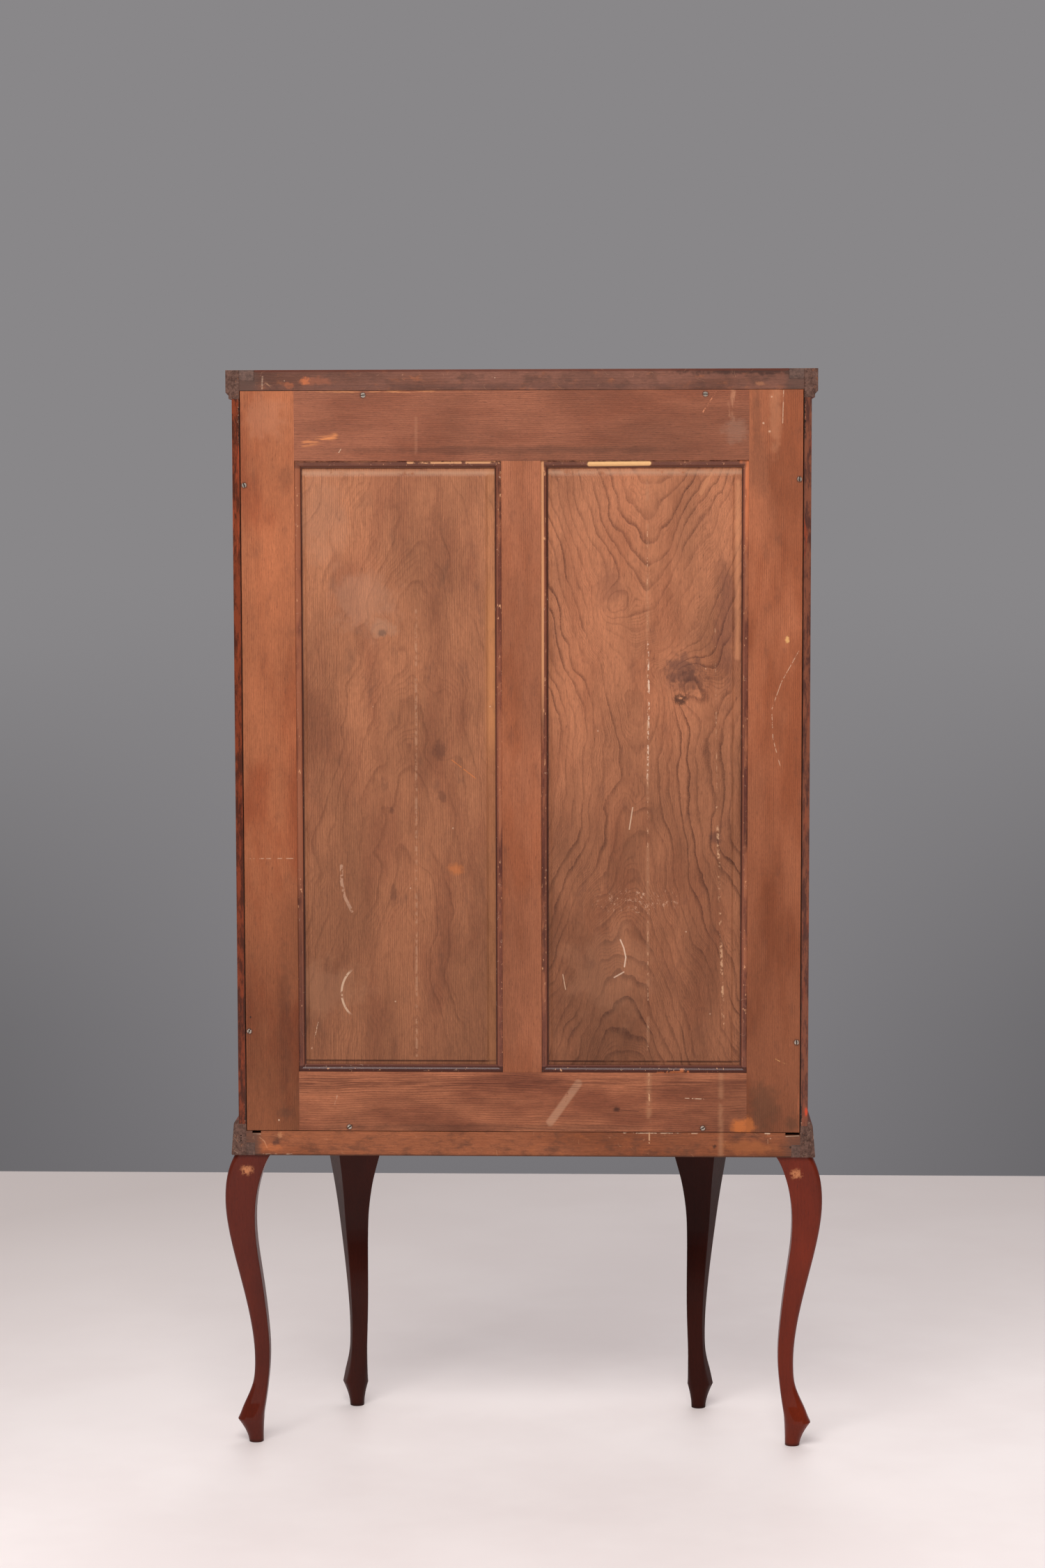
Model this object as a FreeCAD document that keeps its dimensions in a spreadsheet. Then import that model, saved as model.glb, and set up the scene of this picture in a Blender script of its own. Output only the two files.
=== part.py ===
"""Curio cabinet: a glazed case with canted front corners on four cabriole legs.

Frame: origin at the middle of the footprint on the floor, +Z up, the door faces -Y and the
panelled back lies at +Y. Left and right are as seen from the front, so left is -X.
Depths in this file are counted from the back plane towards the front, in millimetres.
"""
import FreeCAD, Part
import math
import os
import types

import Sketcher

Vector = FreeCAD.Vector
UP = Vector(0, 0, 1)
ROOT_HALF = math.sqrt(0.5)
MITRE_SLOPE = math.tan(math.radians(22.5))
LEG_TURN = 22.5
MITRE_SPARE = 30

SIZES = {
    # outline of the case
    "total_height": 1600, "leg_height": 441, "back_line": 142,
    "case_half": 422, "case_depth": 250, "return_depth": 107,
    "skin": 11, "wall": 20, "frame_width": 43,
    # levels
    "base_top": 477.5, "base_shoulder": 488, "cornice_under": 1558, "top_under": 1570,
    "board_bottom": 12, "board_top": 8, "board_rebate": 12,
    # lapped corners of the base and top frames
    "base_lap": 24, "base_lap_low": 460, "top_lap": 33, "top_lap_high": 1584.5,
    "chip_start": 389, "chip_end_right": 402, "chip_end_left": 410.5,
    "chip_deep": 18, "chip_high": 3.4, "top_lip": 14, "board_gap": 0.3, "back_gap": 0.5,
    # back frame
    "back_half": 409.8, "back_thick": 22, "back_low": 478.5, "back_high": 1569.5,
    "back_stile": 78.3, "back_rail_top": 101.6, "back_rail_low": 88.3, "muntin_half": 28.8,
    "tenon_long": 35, "tenon_from": 12, "tenon_to": 18, "tenon_shoulder": 12,
    "groove_from": 13, "groove_to": 17, "groove_deep": 10,
    "panel_lap": 6, "panel_tongue": 9.8, "panel_drift": 3.5, "panel_drop": 3,
    "panel_shoulder": 10.4, "panel_bevel": 23, "panel_cove": 9.4,
    "panel_field": 26, "panel_face": 7.8,
    "bead_width": 10, "bead_from": 2.5, "bead_to": 9.6,
    # canted corners
    "cant_stile": 35, "cant_rail": 46, "sight_depth": 10, "rebate": 8,
    "glass_thick": 3, "glass_gap": 0.5, "glazing_bead": 6,
    # front
    "post_face": 35, "sill_top": 500, "head_under": 1553,
    "door_gap": 1.5, "door_thick": 19.6, "door_stile": 42, "door_rail_top": 45,
    "door_rail_low": 55, "door_tenon_long": 30, "door_tenon_from": 5.6, "door_tenon_to": 13.6,
    "stop_thick": 11, "stop_half": 236, "stop_wide": 20,
    # hinges
    "hinge_high": 60, "leaf_thick": 1.2, "leaf_wide": 18, "pin_forward": 3.5,
    "knuckle_radius": 3, "pin_radius": 1.25, "pin_clearance": 0.05, "knuckle_gap": 0.3,
    "pin_over": 0.8, "pin_head_radius": 2.2, "pin_head_thick": 1,
    # lock
    "key_in": 14.5, "key_level": 1022, "lock_wide": 28.5, "lock_deep": 10.6,
    "bolt_high": 12, "bolt_thick": 5, "bolt_play": 0.3, "bolt_rise": 9.5, "key_bit": 8,
    "lock_below": 18, "lock_above": 12, "bolt_from": 2, "bolt_room": 25.5, "bolt_long": 23.5,
    "bolt_short": 0.5, "bolt_round": 0.6, "keyhole_radius": 2.6, "key_half": 1,
    "shank_radius": 2.4, "collar_radius": 3.4, "collar_wide": 3, "collar_out": 6,
    "bow_radius": 6.6, "bow_wire": 1.9, "bow_from": 14, "bow_middle": 8.5,
    "plate_thick": 1.2, "plate_radius": 9, "plate_tip": 4.5, "plate_drop": 2,
    "strike_side": 2, "strike_end": 8, "mortise_deep": 9,
    # shelves
    "shelf_thick": 6, "shelf_half": 399, "shelf_back": 24, "shelf_front": 214,
    "shelf_cant": 495, "shelf_pin_radius": 2.5, "shelf_pin_out": 10,
    "shelf_pin_sunk": 8, "front_pin_x": 263, "front_pin_from": 203,
}
HINGE_LEVELS = (620, 1435)
SHELF_LEVELS = (760, 1030, 1300)
SHELF_PIN_DEPTHS = (40, 84)
# Screws: radius of the head, radius of the shank, length and width of the slot.
BACK_SCREW = (3.4, 1.6, 36, 1.4)
LEAF_SCREW = (2.6, 1.2, 14, 0.5)
HOLE_PLAY = 0.3
# Leaf screws: height from the middle of the hinge and depth from the front of the case.
LEAF_SCREW_PLACES = ((-21, -7), (0, -12), (21, -7))
SLOT_TURN = 50
# Back screws: place, turn of the slot, and how far the head lies below the face.
BACK_SCREWS = ((230, 1563, 4, 0.3), (-268, 1563, 0, 0.3),
               (257, 484, 38, 1.2), (-267, 484, 30, 1.2),
               (405, 1433, 105, 0.4), (405, 627, 65, 0.4),
               (-405, 1440, 90, 0.4), (-405, 613, 95, 0.3))

# Leg stations: height, then the outer and inner edge along the knee's direction, counted
# outwards from the foot's centre, then the width across it and the inner corners' radius.
BACK_LEG = (
    (441, 26.8, -27, 40, 2), (425, 34, -18, 39, 2), (406, 39.5, -11.3, 37, 2),
    (384, 42.2, -5.8, 35.5, 2), (359, 42.2, -2.5, 34, 2), (330, 38.8, -2, 32.5, 2),
    (304, 33.8, -3.8, 31.5, 2), (278, 27.8, -7.2, 30.5, 2), (229, 15.8, -14.2, 28.5, 2),
    (182, 6.2, -19.4, 26.5, 2), (145, 1.8, -21.8, 25, 2.5), (115, 1.4, -21, 24.2, 3),
    (92, 4.2, -18.8, 24.5, 4), (70, 12.4, -16, 27, 6), (52, 20.5, -13.2, 32, 10),
    (36, 27.4, -11.5, 37, 15),
)
FRONT_LEG = (
    (441, 26.8, -40, 84, 2), (425, 34, -32, 76, 2), (406, 39.5, -24, 68.5, 2),
    (384, 42.2, -18, 60, 2), (359, 42.2, -12, 51, 2), (330, 38.8, -7.5, 43.5, 2),
    (304, 33.8, -5.5, 39, 2), (278, 27.8, -6.5, 36, 2), (229, 15.8, -12, 31.5, 2),
    (182, 6.2, -17, 28, 2), (145, 1.8, -18.8, 25.8, 2.5), (115, 1.4, -17.5, 25, 3),
    (92, 4.2, -15.8, 25.5, 4), (70, 12.4, -14, 28, 6), (52, 20.5, -12.5, 32, 10),
    (36, 27.4, -11.5, 37, 15),
)
FOOT = ((36, 27.4, -11.5, 37, 15), (27, 21.5, -11, 31, 13.5), (16, 15.6, -10.6, 25.4, 12),
        (0, 11.2, -10.4, 21.6, 10.4))
KNEE_RADIUS = 8
BACK_FOOT = (402.3, 24)
FRONT_FOOT = (267, 220.4)

doc = FreeCAD.newDocument("curio_cabinet")
nodes = []


class Size:
    """A number together with the expression that binds it to the sheet."""

    def __init__(self, text, number):
        self.text = text
        self.number = number

    def join(self, sign, other, number):
        return Size(f"({self.text} {sign} {as_size(other).text})", number)

    def __add__(self, other):
        return self.join("+", other, self.number + as_size(other).number)

    def __sub__(self, other):
        return self.join("-", other, self.number - as_size(other).number)

    def __mul__(self, other):
        return self.join("*", other, self.number * as_size(other).number)

    def __neg__(self):
        return Size(f"(0 - {self.text})", -self.number)

    def __rsub__(self, other):
        return as_size(other) - self

    __radd__ = __add__
    __rmul__ = __mul__


def as_size(item):
    """A bare number as a Size, with brackets round a negative one."""
    if isinstance(item, Size):
        return item
    return Size(f"({item})" if item < 0 else f"{item}", float(item))


def make_sheet():
    """Write the driving sizes to the sheet and return them by name."""
    sheet = doc.addObject("Spreadsheet::Sheet", "sizes")
    for row, (name, number) in enumerate(SIZES.items(), start=1):
        sheet.set(f"A{row}", name)
        sheet.set(f"B{row}", str(number))
        sheet.setAlias(f"B{row}", name)
    doc.recompute()
    named = {name: Size(f"sizes.{name}", float(number)) for name, number in SIZES.items()}
    return types.SimpleNamespace(**named)


s = make_sheet()


# ---------------------------------------------------------------- places on the plan

def plan(x, depth):
    """A point of a plan outline, from its depth in front of the back plane."""
    return as_size(x), s.back_line - depth


def at(x, depth, z):
    """The same as a vector of plain numbers."""
    return Vector(as_size(x).number, s.back_line.number - as_size(depth).number,
                  as_size(z).number)


def side_corner(inset):
    """Corner between a side and its cant, this far inside the case outline."""
    return plan(s.case_half - inset, s.return_depth - inset * MITRE_SLOPE)


def front_corner(inset):
    """Corner between a cant and the front, this far inside the case outline."""
    half = s.case_half - (s.case_depth - s.return_depth)
    return plan(half - inset * MITRE_SLOPE, s.case_depth - inset)


def on_cant(along, inward):
    """A point this far along the cant from its back corner and this far inside it."""
    along, inward = as_size(along), as_size(inward)
    return plan(s.case_half - (along + inward) * ROOT_HALF,
                s.return_depth + (along - inward) * ROOT_HALF)


def cant_length():
    return (s.case_depth - s.return_depth) * (1 / ROOT_HALF)


def rectangle(x_low, x_high, depth_low, depth_high):
    """Plan outline of a rectangle."""
    return [plan(x_low, depth_high), plan(x_high, depth_high),
            plan(x_high, depth_low), plan(x_low, depth_low)]


# ---------------------------------------------------------------- modelling helpers

def add_polygon(sketch, points):
    """Close a polygon through the points and bind each corner to the sheet."""
    count = len(points)
    corners = [Vector(u.number, v.number) for u, v in points]
    for index, corner in enumerate(corners):
        sketch.addGeometry(Part.LineSegment(corner, corners[(index + 1) % count]))
    for index in range(count):
        following = (index + 1) % count
        sketch.addConstraint(Sketcher.Constraint("Coincident", index, 2, following, 1))
    for index, corner in enumerate(points):
        for kind, place in zip(("DistanceX", "DistanceY"), corner):
            rule = Sketcher.Constraint(kind, -1, 1, index, 1, place.number)
            number = sketch.addConstraint(rule)
            sketch.setExpression(f"Constraints[{number}]", place.text)


def add_sketch(body, role, offset, points):
    """Sketch a polygon on one of the body's origin planes, moved out by the offset."""
    sketch = body.newObject("Sketcher::SketchObject", body.Name + "_outline")
    planes = [plane for plane in body.Origin.OriginFeatures if plane.Role == role]
    sketch.AttachmentSupport = (planes[0], "")
    sketch.MapMode = "FlatFace"
    add_polygon(sketch, points)
    sketch.setExpression("AttachmentOffset.Base.z", offset.text)
    return sketch


def make_body(label, pads, pockets=(), role="XY_Plane"):
    """A body from (outline, low, high) pads and pockets along the plane's normal."""
    body = doc.addObject("PartDesign::Body", label)
    body.Label = label
    for outline, low, high in pads:
        low, high = as_size(low), as_size(high)
        pad = body.newObject("PartDesign::Pad", label + "_pad")
        pad.Profile = add_sketch(body, role, low, outline)
        pad.setExpression("Length", (high - low).text)
        body.Tip = pad
    for outline, low, high in pockets:
        low, high = as_size(low), as_size(high)
        pocket = body.newObject("PartDesign::Pocket", label + "_pocket")
        pocket.Profile = add_sketch(body, role, high, outline)
        pocket.setExpression("Length", (high - low).text)
        body.Tip = pocket
    return body


def node(thing, label=None):
    """Keep a finished sub-part; its label names its file."""
    if label:
        thing.Label = label
    nodes.append(thing)
    return thing


def mirrored(thing, label):
    """The same piece on the other side of the cabinet."""
    mirror = doc.addObject("Part::Mirroring", label)
    mirror.Source = thing
    mirror.Base = Vector(0, 0, 0)
    mirror.Normal = Vector(1, 0, 0)
    mirror.Label = label
    return mirror


def both_sides(things, label):
    """One group of separate solids: the pieces and their mirrored copies."""
    group = doc.addObject("Part::Compound", label)
    group.Links = things + [mirrored(thing, thing.Label + "_left") for thing in things]
    group.Label = label
    return group


def cut_from(thing, tools, label):
    """The piece with the tools' shapes taken out of it."""
    rest = thing
    for number, tool in enumerate(tools):
        cut = doc.addObject("Part::Cut", f"{label}_cut{number}")
        cut.Base = rest
        cut.Tool = tool
        rest = cut
    rest.Label = label
    return rest


def feature(label, shape):
    """A sub-part whose shape is made by Part's own functions."""
    thing = doc.addObject("Part::Feature", label)
    thing.Shape = shape
    thing.Label = label
    return thing


def block(x_low, x_high, depth_low, depth_high, z_low, z_high):
    """A plain box shape between depths in front of the back plane."""
    corner = at(x_low, depth_high, z_low)
    end = at(x_high, depth_low, z_high)
    size = end - corner
    return Part.makeBox(size.x, size.y, size.z, corner)


def half_space(point, normal):
    """A large box that holds everything beyond the plane through the point."""
    reach = 2000
    box = Part.makeBox(2 * reach, 2 * reach, reach)
    box.translate(Vector(-reach, -reach, 0))
    return box.transformed(FreeCAD.Placement(point, FreeCAD.Rotation(UP, normal)).toMatrix())


def mitred_runs(profile, corners, up, closed):
    """One bar per run of the path: the profile's X points outwards and its Y along up."""
    count = len(corners)
    runs = []
    for index in range(count if closed else count - 1):
        start, end = corners[index], corners[(index + 1) % count]
        along = (end - start).normalize()
        outward = up.cross(along)
        frame = FreeCAD.Matrix(outward.x, up.x, along.x, start.x,
                               outward.y, up.y, along.y, start.y,
                               outward.z, up.z, along.z, start.z, 0, 0, 0, 1)
        before = start - corners[index - 1] if closed or index > 0 else along
        after = corners[(index + 2) % count] - end if closed or index + 2 < count else along
        wire = profile.copy()
        wire.transformShape(frame)
        wire.translate(along * -MITRE_SPARE)
        length = (end - start).Length + 2 * MITRE_SPARE
        bar = Part.Face(wire).extrude(along * length)
        bar = bar.cut(half_space(start, -(along + before.normalize())))
        runs.append(bar.cut(half_space(end, along + after.normalize())))
    return runs


# ---------------------------------------------------------------- legs

def station_wire(station):
    """Rounded rectangle of one leg station, with its knee towards +X."""
    z, outer, inner, across, radius = station
    half = across / 2
    knee = max(radius, KNEE_RADIUS)
    centres = ((outer - knee, half - knee, 0, knee),
               (inner + radius, half - radius, 90, radius),
               (inner + radius, radius - half, 180, radius),
               (outer - knee, knee - half, 270, knee))
    edges = []
    last = None
    first = None
    for x, y, turn, radius in centres:
        points = [Vector(x + radius * math.cos(math.radians(turn + step)),
                         y + radius * math.sin(math.radians(turn + step)), z)
                  for step in (0, 45, 90)]
        if last:
            edges.append(Part.makeLine(last, points[0]))
        edges.append(Part.Arc(*points).toShape())
        first = first or points[0]
        last = points[2]
    edges.append(Part.makeLine(last, first))
    return Part.Wire(edges)


def make_leg(label, stations, place, turn):
    """A cabriole leg lofted through its stations, on a pad foot."""
    shank = Part.makeLoft([station_wire(station) for station in reversed(stations)], True)
    foot = Part.makeLoft([station_wire(station) for station in reversed(FOOT)], True)
    leg = shank.fuse(foot)
    leg.rotate(Vector(0, 0, 0), UP, turn)
    leg.translate(at(place[0], place[1], 0))
    return feature(label + "_blank", leg)


def make_dowels():
    """Two dowels at each leg, half in the leg and half in the base frame."""
    radius, reach = 4, 20
    places = []
    for x, depth in ((392.5, 24), (405, 24), (258.5, 219.5), (285, 208.5)):
        places += [(x, depth), (-x, depth)]
    low = s.leg_height.number - reach
    dowels = [Part.makeCylinder(radius, 2 * reach, at(x, depth, low)) for x, depth in places]
    return node(feature("leg_dowels", Part.makeCompound(dowels)))


def make_legs(dowels):
    right_back = make_leg("leg_back_right", BACK_LEG, BACK_FOOT, 0)
    right_front = make_leg("leg_front_right", FRONT_LEG, FRONT_FOOT, -90 + LEG_TURN)
    for leg, name in ((right_back, "leg_back"), (right_front, "leg_front")):
        left = mirrored(leg, name + "_left_blank")
        node(cut_from(leg, [dowels], name + "_right"))
        node(cut_from(left, [dowels], name + "_left"))


# ---------------------------------------------------------------- base and top frames

def frame_side(label, low, high, lap, lap_low, lap_high):
    """A side rail and its canted rail, mitred, with a lapped back end."""
    outer, inner = s.case_half - s.skin, s.case_half - s.frame_width
    step = s.case_half - lap
    back_outline = [plan(outer, 0), side_corner(s.skin), side_corner(s.frame_width),
                    plan(inner, s.frame_width), plan(step, s.frame_width), plan(step, 0)]
    cant_outline = [side_corner(s.skin), front_corner(s.skin), front_corner(s.frame_width),
                    side_corner(s.frame_width)]
    notch = rectangle(step, outer, 0, s.frame_width)
    rail = make_body(label + "_rail", [(back_outline, low, high)], [(notch, lap_low, lap_high)])
    cant = make_body(label + "_cant", [(cant_outline, low, high)])
    both = doc.addObject("Part::Compound", label)
    both.Links = [rail, cant]
    both.Label = label
    return both


def back_rail(label, low, high, lap, lap_low, lap_high, lip_low, lip_high, chips=()):
    """A rail across the back with lapped ends and a lip for the back frame's screws."""
    half, reach, depth = s.case_half - lap, s.case_half - s.skin, s.frame_width
    lip = s.case_half - s.wall - s.board_gap
    pads = [(rectangle(-half, half, 0, depth), low, high),
            (rectangle(-reach, reach, 0, depth), lap_low, lap_high),
            (rectangle(-lip, lip, s.back_thick + s.back_gap, depth), lip_low, lip_high)]
    return make_body(label, pads, chips)


def front_rail(label, low, high, lip_low, lip_high, skin_low, skin_high):
    """A rail across the front with the door's sill or head in one piece with it."""
    outline = [front_corner(s.frame_width), front_corner(s.skin)]
    outline += [(-x, y) for x, y in reversed(outline)]
    opening = front_opening()
    inner = rectangle(-opening, opening, s.case_depth - s.wall, s.case_depth - s.skin)
    outer = rectangle(-opening, opening, s.case_depth - s.skin, s.case_depth)
    return make_body(label, [(outline, low, high), (inner, lip_low, lip_high),
                             (outer, skin_low, skin_high)])


def front_opening():
    """Half of the width between the front posts."""
    return s.case_half - (s.case_depth - s.return_depth) - s.post_face


def make_base_frame(dowels, screws):
    low, high = s.leg_height, s.base_top
    lap = (s.base_lap, s.base_lap_low, high)
    right_chip = rectangle(s.chip_start, s.chip_end_right, 0, s.chip_deep)
    left_chip = rectangle(-s.chip_end_left, -s.chip_start, 0, s.chip_deep)
    chips = [(outline, high - s.chip_high, high) for outline in (right_chip, left_chip)]
    back = back_rail("base_back_blank", low, high, *lap, high, s.sill_top, chips)
    node(cut_from(back, [screws, dowels], "base_back_rail"))
    right = frame_side("base_side_blank", low, high, *lap)
    left = mirrored(right, "base_side_left_blank")
    node(cut_from(right, [dowels], "base_side_right"))
    node(cut_from(left, [dowels], "base_side_left"))
    front = front_rail("base_front_blank", low, high, high, s.sill_top,
                       s.base_shoulder, s.sill_top)
    node(cut_from(front, [dowels], "base_front_rail"))


def make_top_frame(screws, board):
    low, high = s.top_under, s.total_height
    lap = (s.top_lap, low, s.top_lap_high)
    back = back_rail("top_back_blank", low, high, *lap, s.cornice_under - s.top_lip, low)
    node(cut_from(back, [screws, board], "top_back_rail"))
    right = frame_side("top_side_blank", low, high, *lap)
    left = mirrored(right, "top_side_left_blank")
    node(cut_from(right, [board], "top_side_right"))
    node(cut_from(left, [board], "top_side_left"))
    front = front_rail("top_front_blank", low, high, s.head_under, low,
                       s.head_under, s.cornice_under)
    node(cut_from(front, [board], "top_front_rail"))


def board_outline(inset, back):
    """Outline of a board that fills the case, this far inside it."""
    right = [plan(s.case_half - inset, back), side_corner(inset), front_corner(inset)]
    return right + [(-x, y) for x, y in reversed(right)]


def make_boards():
    low = s.base_top
    outline = board_outline(s.wall + s.board_gap, s.frame_width + s.board_gap)
    node(make_body("bottom_board", [(outline, low, low + s.board_bottom)]))
    inset = s.frame_width - s.board_rebate
    top = make_body("top_board", [(board_outline(inset, inset),
                                   s.total_height - s.board_top, s.total_height)])
    return node(top)


# ---------------------------------------------------------------- mouldings

def base_profile():
    """A slope under an ovolo, over a rebate that stands behind the side boards' feet."""
    low, high = s.leg_height.number, 495
    shoulder, skin = s.base_shoulder.number, s.skin.number
    points = [Vector(-skin, low), Vector(10.2, low), Vector(11.3, low + 1.5),
              Vector(7.6, shoulder - 2), Vector(0, high), Vector(0, shoulder),
              Vector(-skin, shoulder)]
    edges = [Part.makeLine(points[index], points[index + 1]) for index in (0, 1, 2)]
    edges.append(Part.Arc(points[3], Vector(5.6, 491.6), points[4]).toShape())
    edges += [Part.makeLine(points[index], points[index + 1]) for index in (4, 5)]
    edges.append(Part.makeLine(points[6], points[0]))
    return Part.Wire(edges)


def cornice_profile():
    """A plain fascia over a small splayed step."""
    low, high, skin = s.cornice_under.number, s.total_height.number, s.skin.number
    corners = [(-skin, low), (4.6, low), (4.6, low + 5), (9, low + 9.5), (9, high), (-skin, high)]
    points = [Vector(x, y) for x, y in corners]
    return Part.makePolygon(points + points[:1])


def make_mouldings(name, profile):
    """Five mitred runs: a return and a cant on each side, and the front between them."""
    right = [plan(s.case_half, 0), side_corner(0), front_corner(0)]
    outline = right + [(-x, y) for x, y in reversed(right)]
    corners = [Vector(x.number, y.number) for x, y in outline]
    runs = mitred_runs(profile, corners, UP, False)
    node(feature(name + "_right", Part.makeCompound(runs[:2])))
    node(feature(name + "_front", runs[2]))
    node(feature(name + "_left", Part.makeCompound(runs[3:])))


# ---------------------------------------------------------------- case sides

def two_skins(outer, inner):
    """Pads of a wall whose outer skin stands between the mouldings and inner one is longer."""
    return [(outer, s.base_shoulder, s.cornice_under), (inner, s.base_top, s.top_under)]


def make_side_boards(screws, pins):
    outer = [plan(s.case_half - s.skin, 0), plan(s.case_half, 0), side_corner(0),
             side_corner(s.skin)]
    back = s.back_thick + s.back_gap
    inner = [plan(s.case_half - s.wall, back), plan(s.case_half - s.skin, back),
             side_corner(s.skin), side_corner(s.wall)]
    right = make_body("side_board_blank", two_skins(outer, inner))
    left = mirrored(right, "side_board_left_blank")
    node(cut_from(right, [screws, pins], "side_board_right"))
    node(cut_from(left, [screws, pins], "side_board_left"))


def make_cants():
    stile, rebate, sight, wall = s.cant_stile, s.rebate, s.sight_depth, s.wall
    outer = [side_corner(0), on_cant(stile, 0), on_cant(stile, sight),
             on_cant(stile - rebate, sight), on_cant(stile - rebate, s.skin),
             side_corner(s.skin)]
    inner = [side_corner(s.skin), on_cant(stile - rebate, s.skin),
             on_cant(stile - rebate, wall), side_corner(wall)]
    right = node(make_body("cant_stile_right", two_skins(outer, inner)))
    node(mirrored(right, "cant_stile_left"))

    start, end = stile, cant_length() - s.post_face
    face = cant_bar(start, end, 0, sight)
    step = cant_bar(start - rebate, end + rebate, sight, s.skin)
    core = cant_bar(start - rebate, end + rebate, s.skin, wall)
    low, high = s.base_shoulder, s.cornice_under
    rails = [make_body("cant_rail_low", [(face, low, low + s.cant_rail),
                                         (step, low, low + s.cant_rail - rebate),
                                         (core, s.base_top, low + s.cant_rail - rebate)]),
             make_body("cant_rail_high", [(face, high - s.cant_rail, high),
                                          (step, high - s.cant_rail + rebate, high),
                                          (core, high - s.cant_rail + rebate, s.top_under)])]
    node(both_sides(rails, "cant_rails"))

    gap = s.glass_gap
    pane = cant_bar(start - rebate + gap, end + rebate - gap, sight, sight + s.glass_thick)
    right = make_body("cant_pane", [(pane, low + s.cant_rail - rebate + gap,
                                            high - s.cant_rail + rebate - gap)])
    node(both_sides([right], "cant_glass"))

    depth = sight + s.glass_thick
    corners = []
    for along, level in ((start - rebate, low + s.cant_rail - rebate),
                         (end + rebate, low + s.cant_rail - rebate),
                         (end + rebate, high - s.cant_rail + rebate),
                         (start - rebate, high - s.cant_rail + rebate)):
        x, y = on_cant(along, depth)
        corners.append(Vector(x.number, y.number, level.number))
    inward = Vector(-ROOT_HALF, ROOT_HALF, 0)
    beads = feature("cant_beads_one_side", glazing_beads(corners, inward))
    node(both_sides([beads], "cant_beads"))


def cant_bar(start, end, outer, inner):
    """Plan outline of a bar along the cant."""
    return [on_cant(start, outer), on_cant(end, outer), on_cant(end, inner),
            on_cant(start, inner)]


def glazing_beads(corners, inward):
    """Four mitred beads with a rounded inner edge, standing on the glass."""
    wide, thick = s.rebate.number, s.glazing_bead.number
    middle = (corners[0] + corners[2]) * 0.5
    first = (corners[1] - corners[0]).normalize()
    sign = 1 if inward.cross(first).dot(corners[0] - middle) > 0 else -1
    if sign < 0:
        corners = [corners[0], corners[3], corners[2], corners[1]]
    points = [Vector(0, 0), Vector(0, thick), Vector(4 - wide, thick), Vector(-wide, 2),
              Vector(-wide, 0)]
    edges = [Part.makeLine(points[0], points[1]), Part.makeLine(points[1], points[2]),
             Part.Arc(points[2], Vector(1.2 - wide, 4.8), points[3]).toShape(),
             Part.makeLine(points[3], points[4]), Part.makeLine(points[4], points[0])]
    return Part.makeCompound(mitred_runs(Part.Wire(edges), corners, inward, True))


def make_front_posts(pins, hinge_cuts, strike_cuts):
    length, face = cant_length(), s.post_face
    rebate, sight, wall, skin = s.rebate, s.sight_depth, s.wall, s.skin
    near, far = length - face, length - face + rebate
    opening, depth = front_opening(), s.case_depth
    outer = [on_cant(near, 0), front_corner(0), plan(opening, depth),
             plan(opening, depth - skin), front_corner(skin), on_cant(far, skin),
             on_cant(far, sight), on_cant(near, sight)]
    inner = [on_cant(far, skin), front_corner(skin), plan(opening, depth - skin),
             plan(opening, depth - wall), front_corner(wall), on_cant(far, wall)]
    right = make_body("front_post_blank", two_skins(outer, inner))
    left = mirrored(right, "front_post_left_blank")
    node(cut_from(right, [pins] + strike_cuts, "front_post_right"))
    node(cut_from(left, [pins] + hinge_cuts, "front_post_left"))

    low, high = s.base_top + s.board_bottom, s.top_under
    stop = rectangle(s.stop_half, s.stop_half + s.stop_wide, depth - wall - s.stop_thick, depth - wall)
    node(both_sides([make_body("door_stop_strip", [(stop, low, high)])], "door_stops"))


# ---------------------------------------------------------------- panelled back

def back_edges():
    """Edges of the two panel openings: inner stile edge, muntin edge, sill and head."""
    return (s.back_half - s.back_stile, s.muntin_half, s.back_low + s.back_rail_low,
            s.back_high - s.back_rail_top)


def make_back_frame(screws):
    inner, muntin, sill, head = back_edges()
    thick, tongue = s.back_thick, (s.groove_from, s.groove_to)
    tenon = (s.tenon_from, s.tenon_to)
    low_tenon = (s.back_low + s.tenon_shoulder, sill - s.tenon_shoulder)
    high_tenon = (head + s.tenon_shoulder, s.back_high - s.tenon_shoulder)
    reach = inner + s.tenon_long

    mortise = rectangle(inner, reach, *tenon)
    groove = rectangle(inner, inner + s.groove_deep, *tongue)
    right = make_body("back_stile_blank",
                      [(rectangle(inner, s.back_half, 0, thick), s.back_low, s.back_high)],
                      [(mortise, *low_tenon), (mortise, *high_tenon),
                       (groove, sill - s.groove_deep, head + s.groove_deep)])
    left = mirrored(right, "back_stile_left_blank")
    node(cut_from(right, [screws], "back_stile_right"))
    node(cut_from(left, [screws], "back_stile_left"))

    rail = rectangle(-inner, inner, 0, thick)
    cheeks = rectangle(-reach, reach, *tenon)
    slot = rectangle(-inner, inner, *tongue)
    top = make_body("back_rail_top_blank",
                    [(rail, head, s.back_high), (cheeks, *high_tenon)],
                    [(slot, head, head + s.groove_deep)])
    node(cut_from(top, [screws], "back_rail_top"))
    low = make_body("back_rail_bottom_blank",
                    [(rail, s.back_low, sill), (cheeks, *low_tenon)],
                    [(slot, sill - s.groove_deep, sill)])
    node(cut_from(low, [screws], "back_rail_bottom"))

    stub = rectangle(s.groove_deep - muntin, muntin - s.groove_deep, *tongue)
    sides = [rectangle(muntin - s.groove_deep, muntin, *tongue),
             rectangle(-muntin, s.groove_deep - muntin, *tongue)]
    node(make_body("back_muntin",
                   [(rectangle(-muntin, muntin, 0, thick), sill, head),
                    (stub, sill - s.groove_deep, head + s.groove_deep)],
                   [(side, sill, head) for side in sides]))


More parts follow.
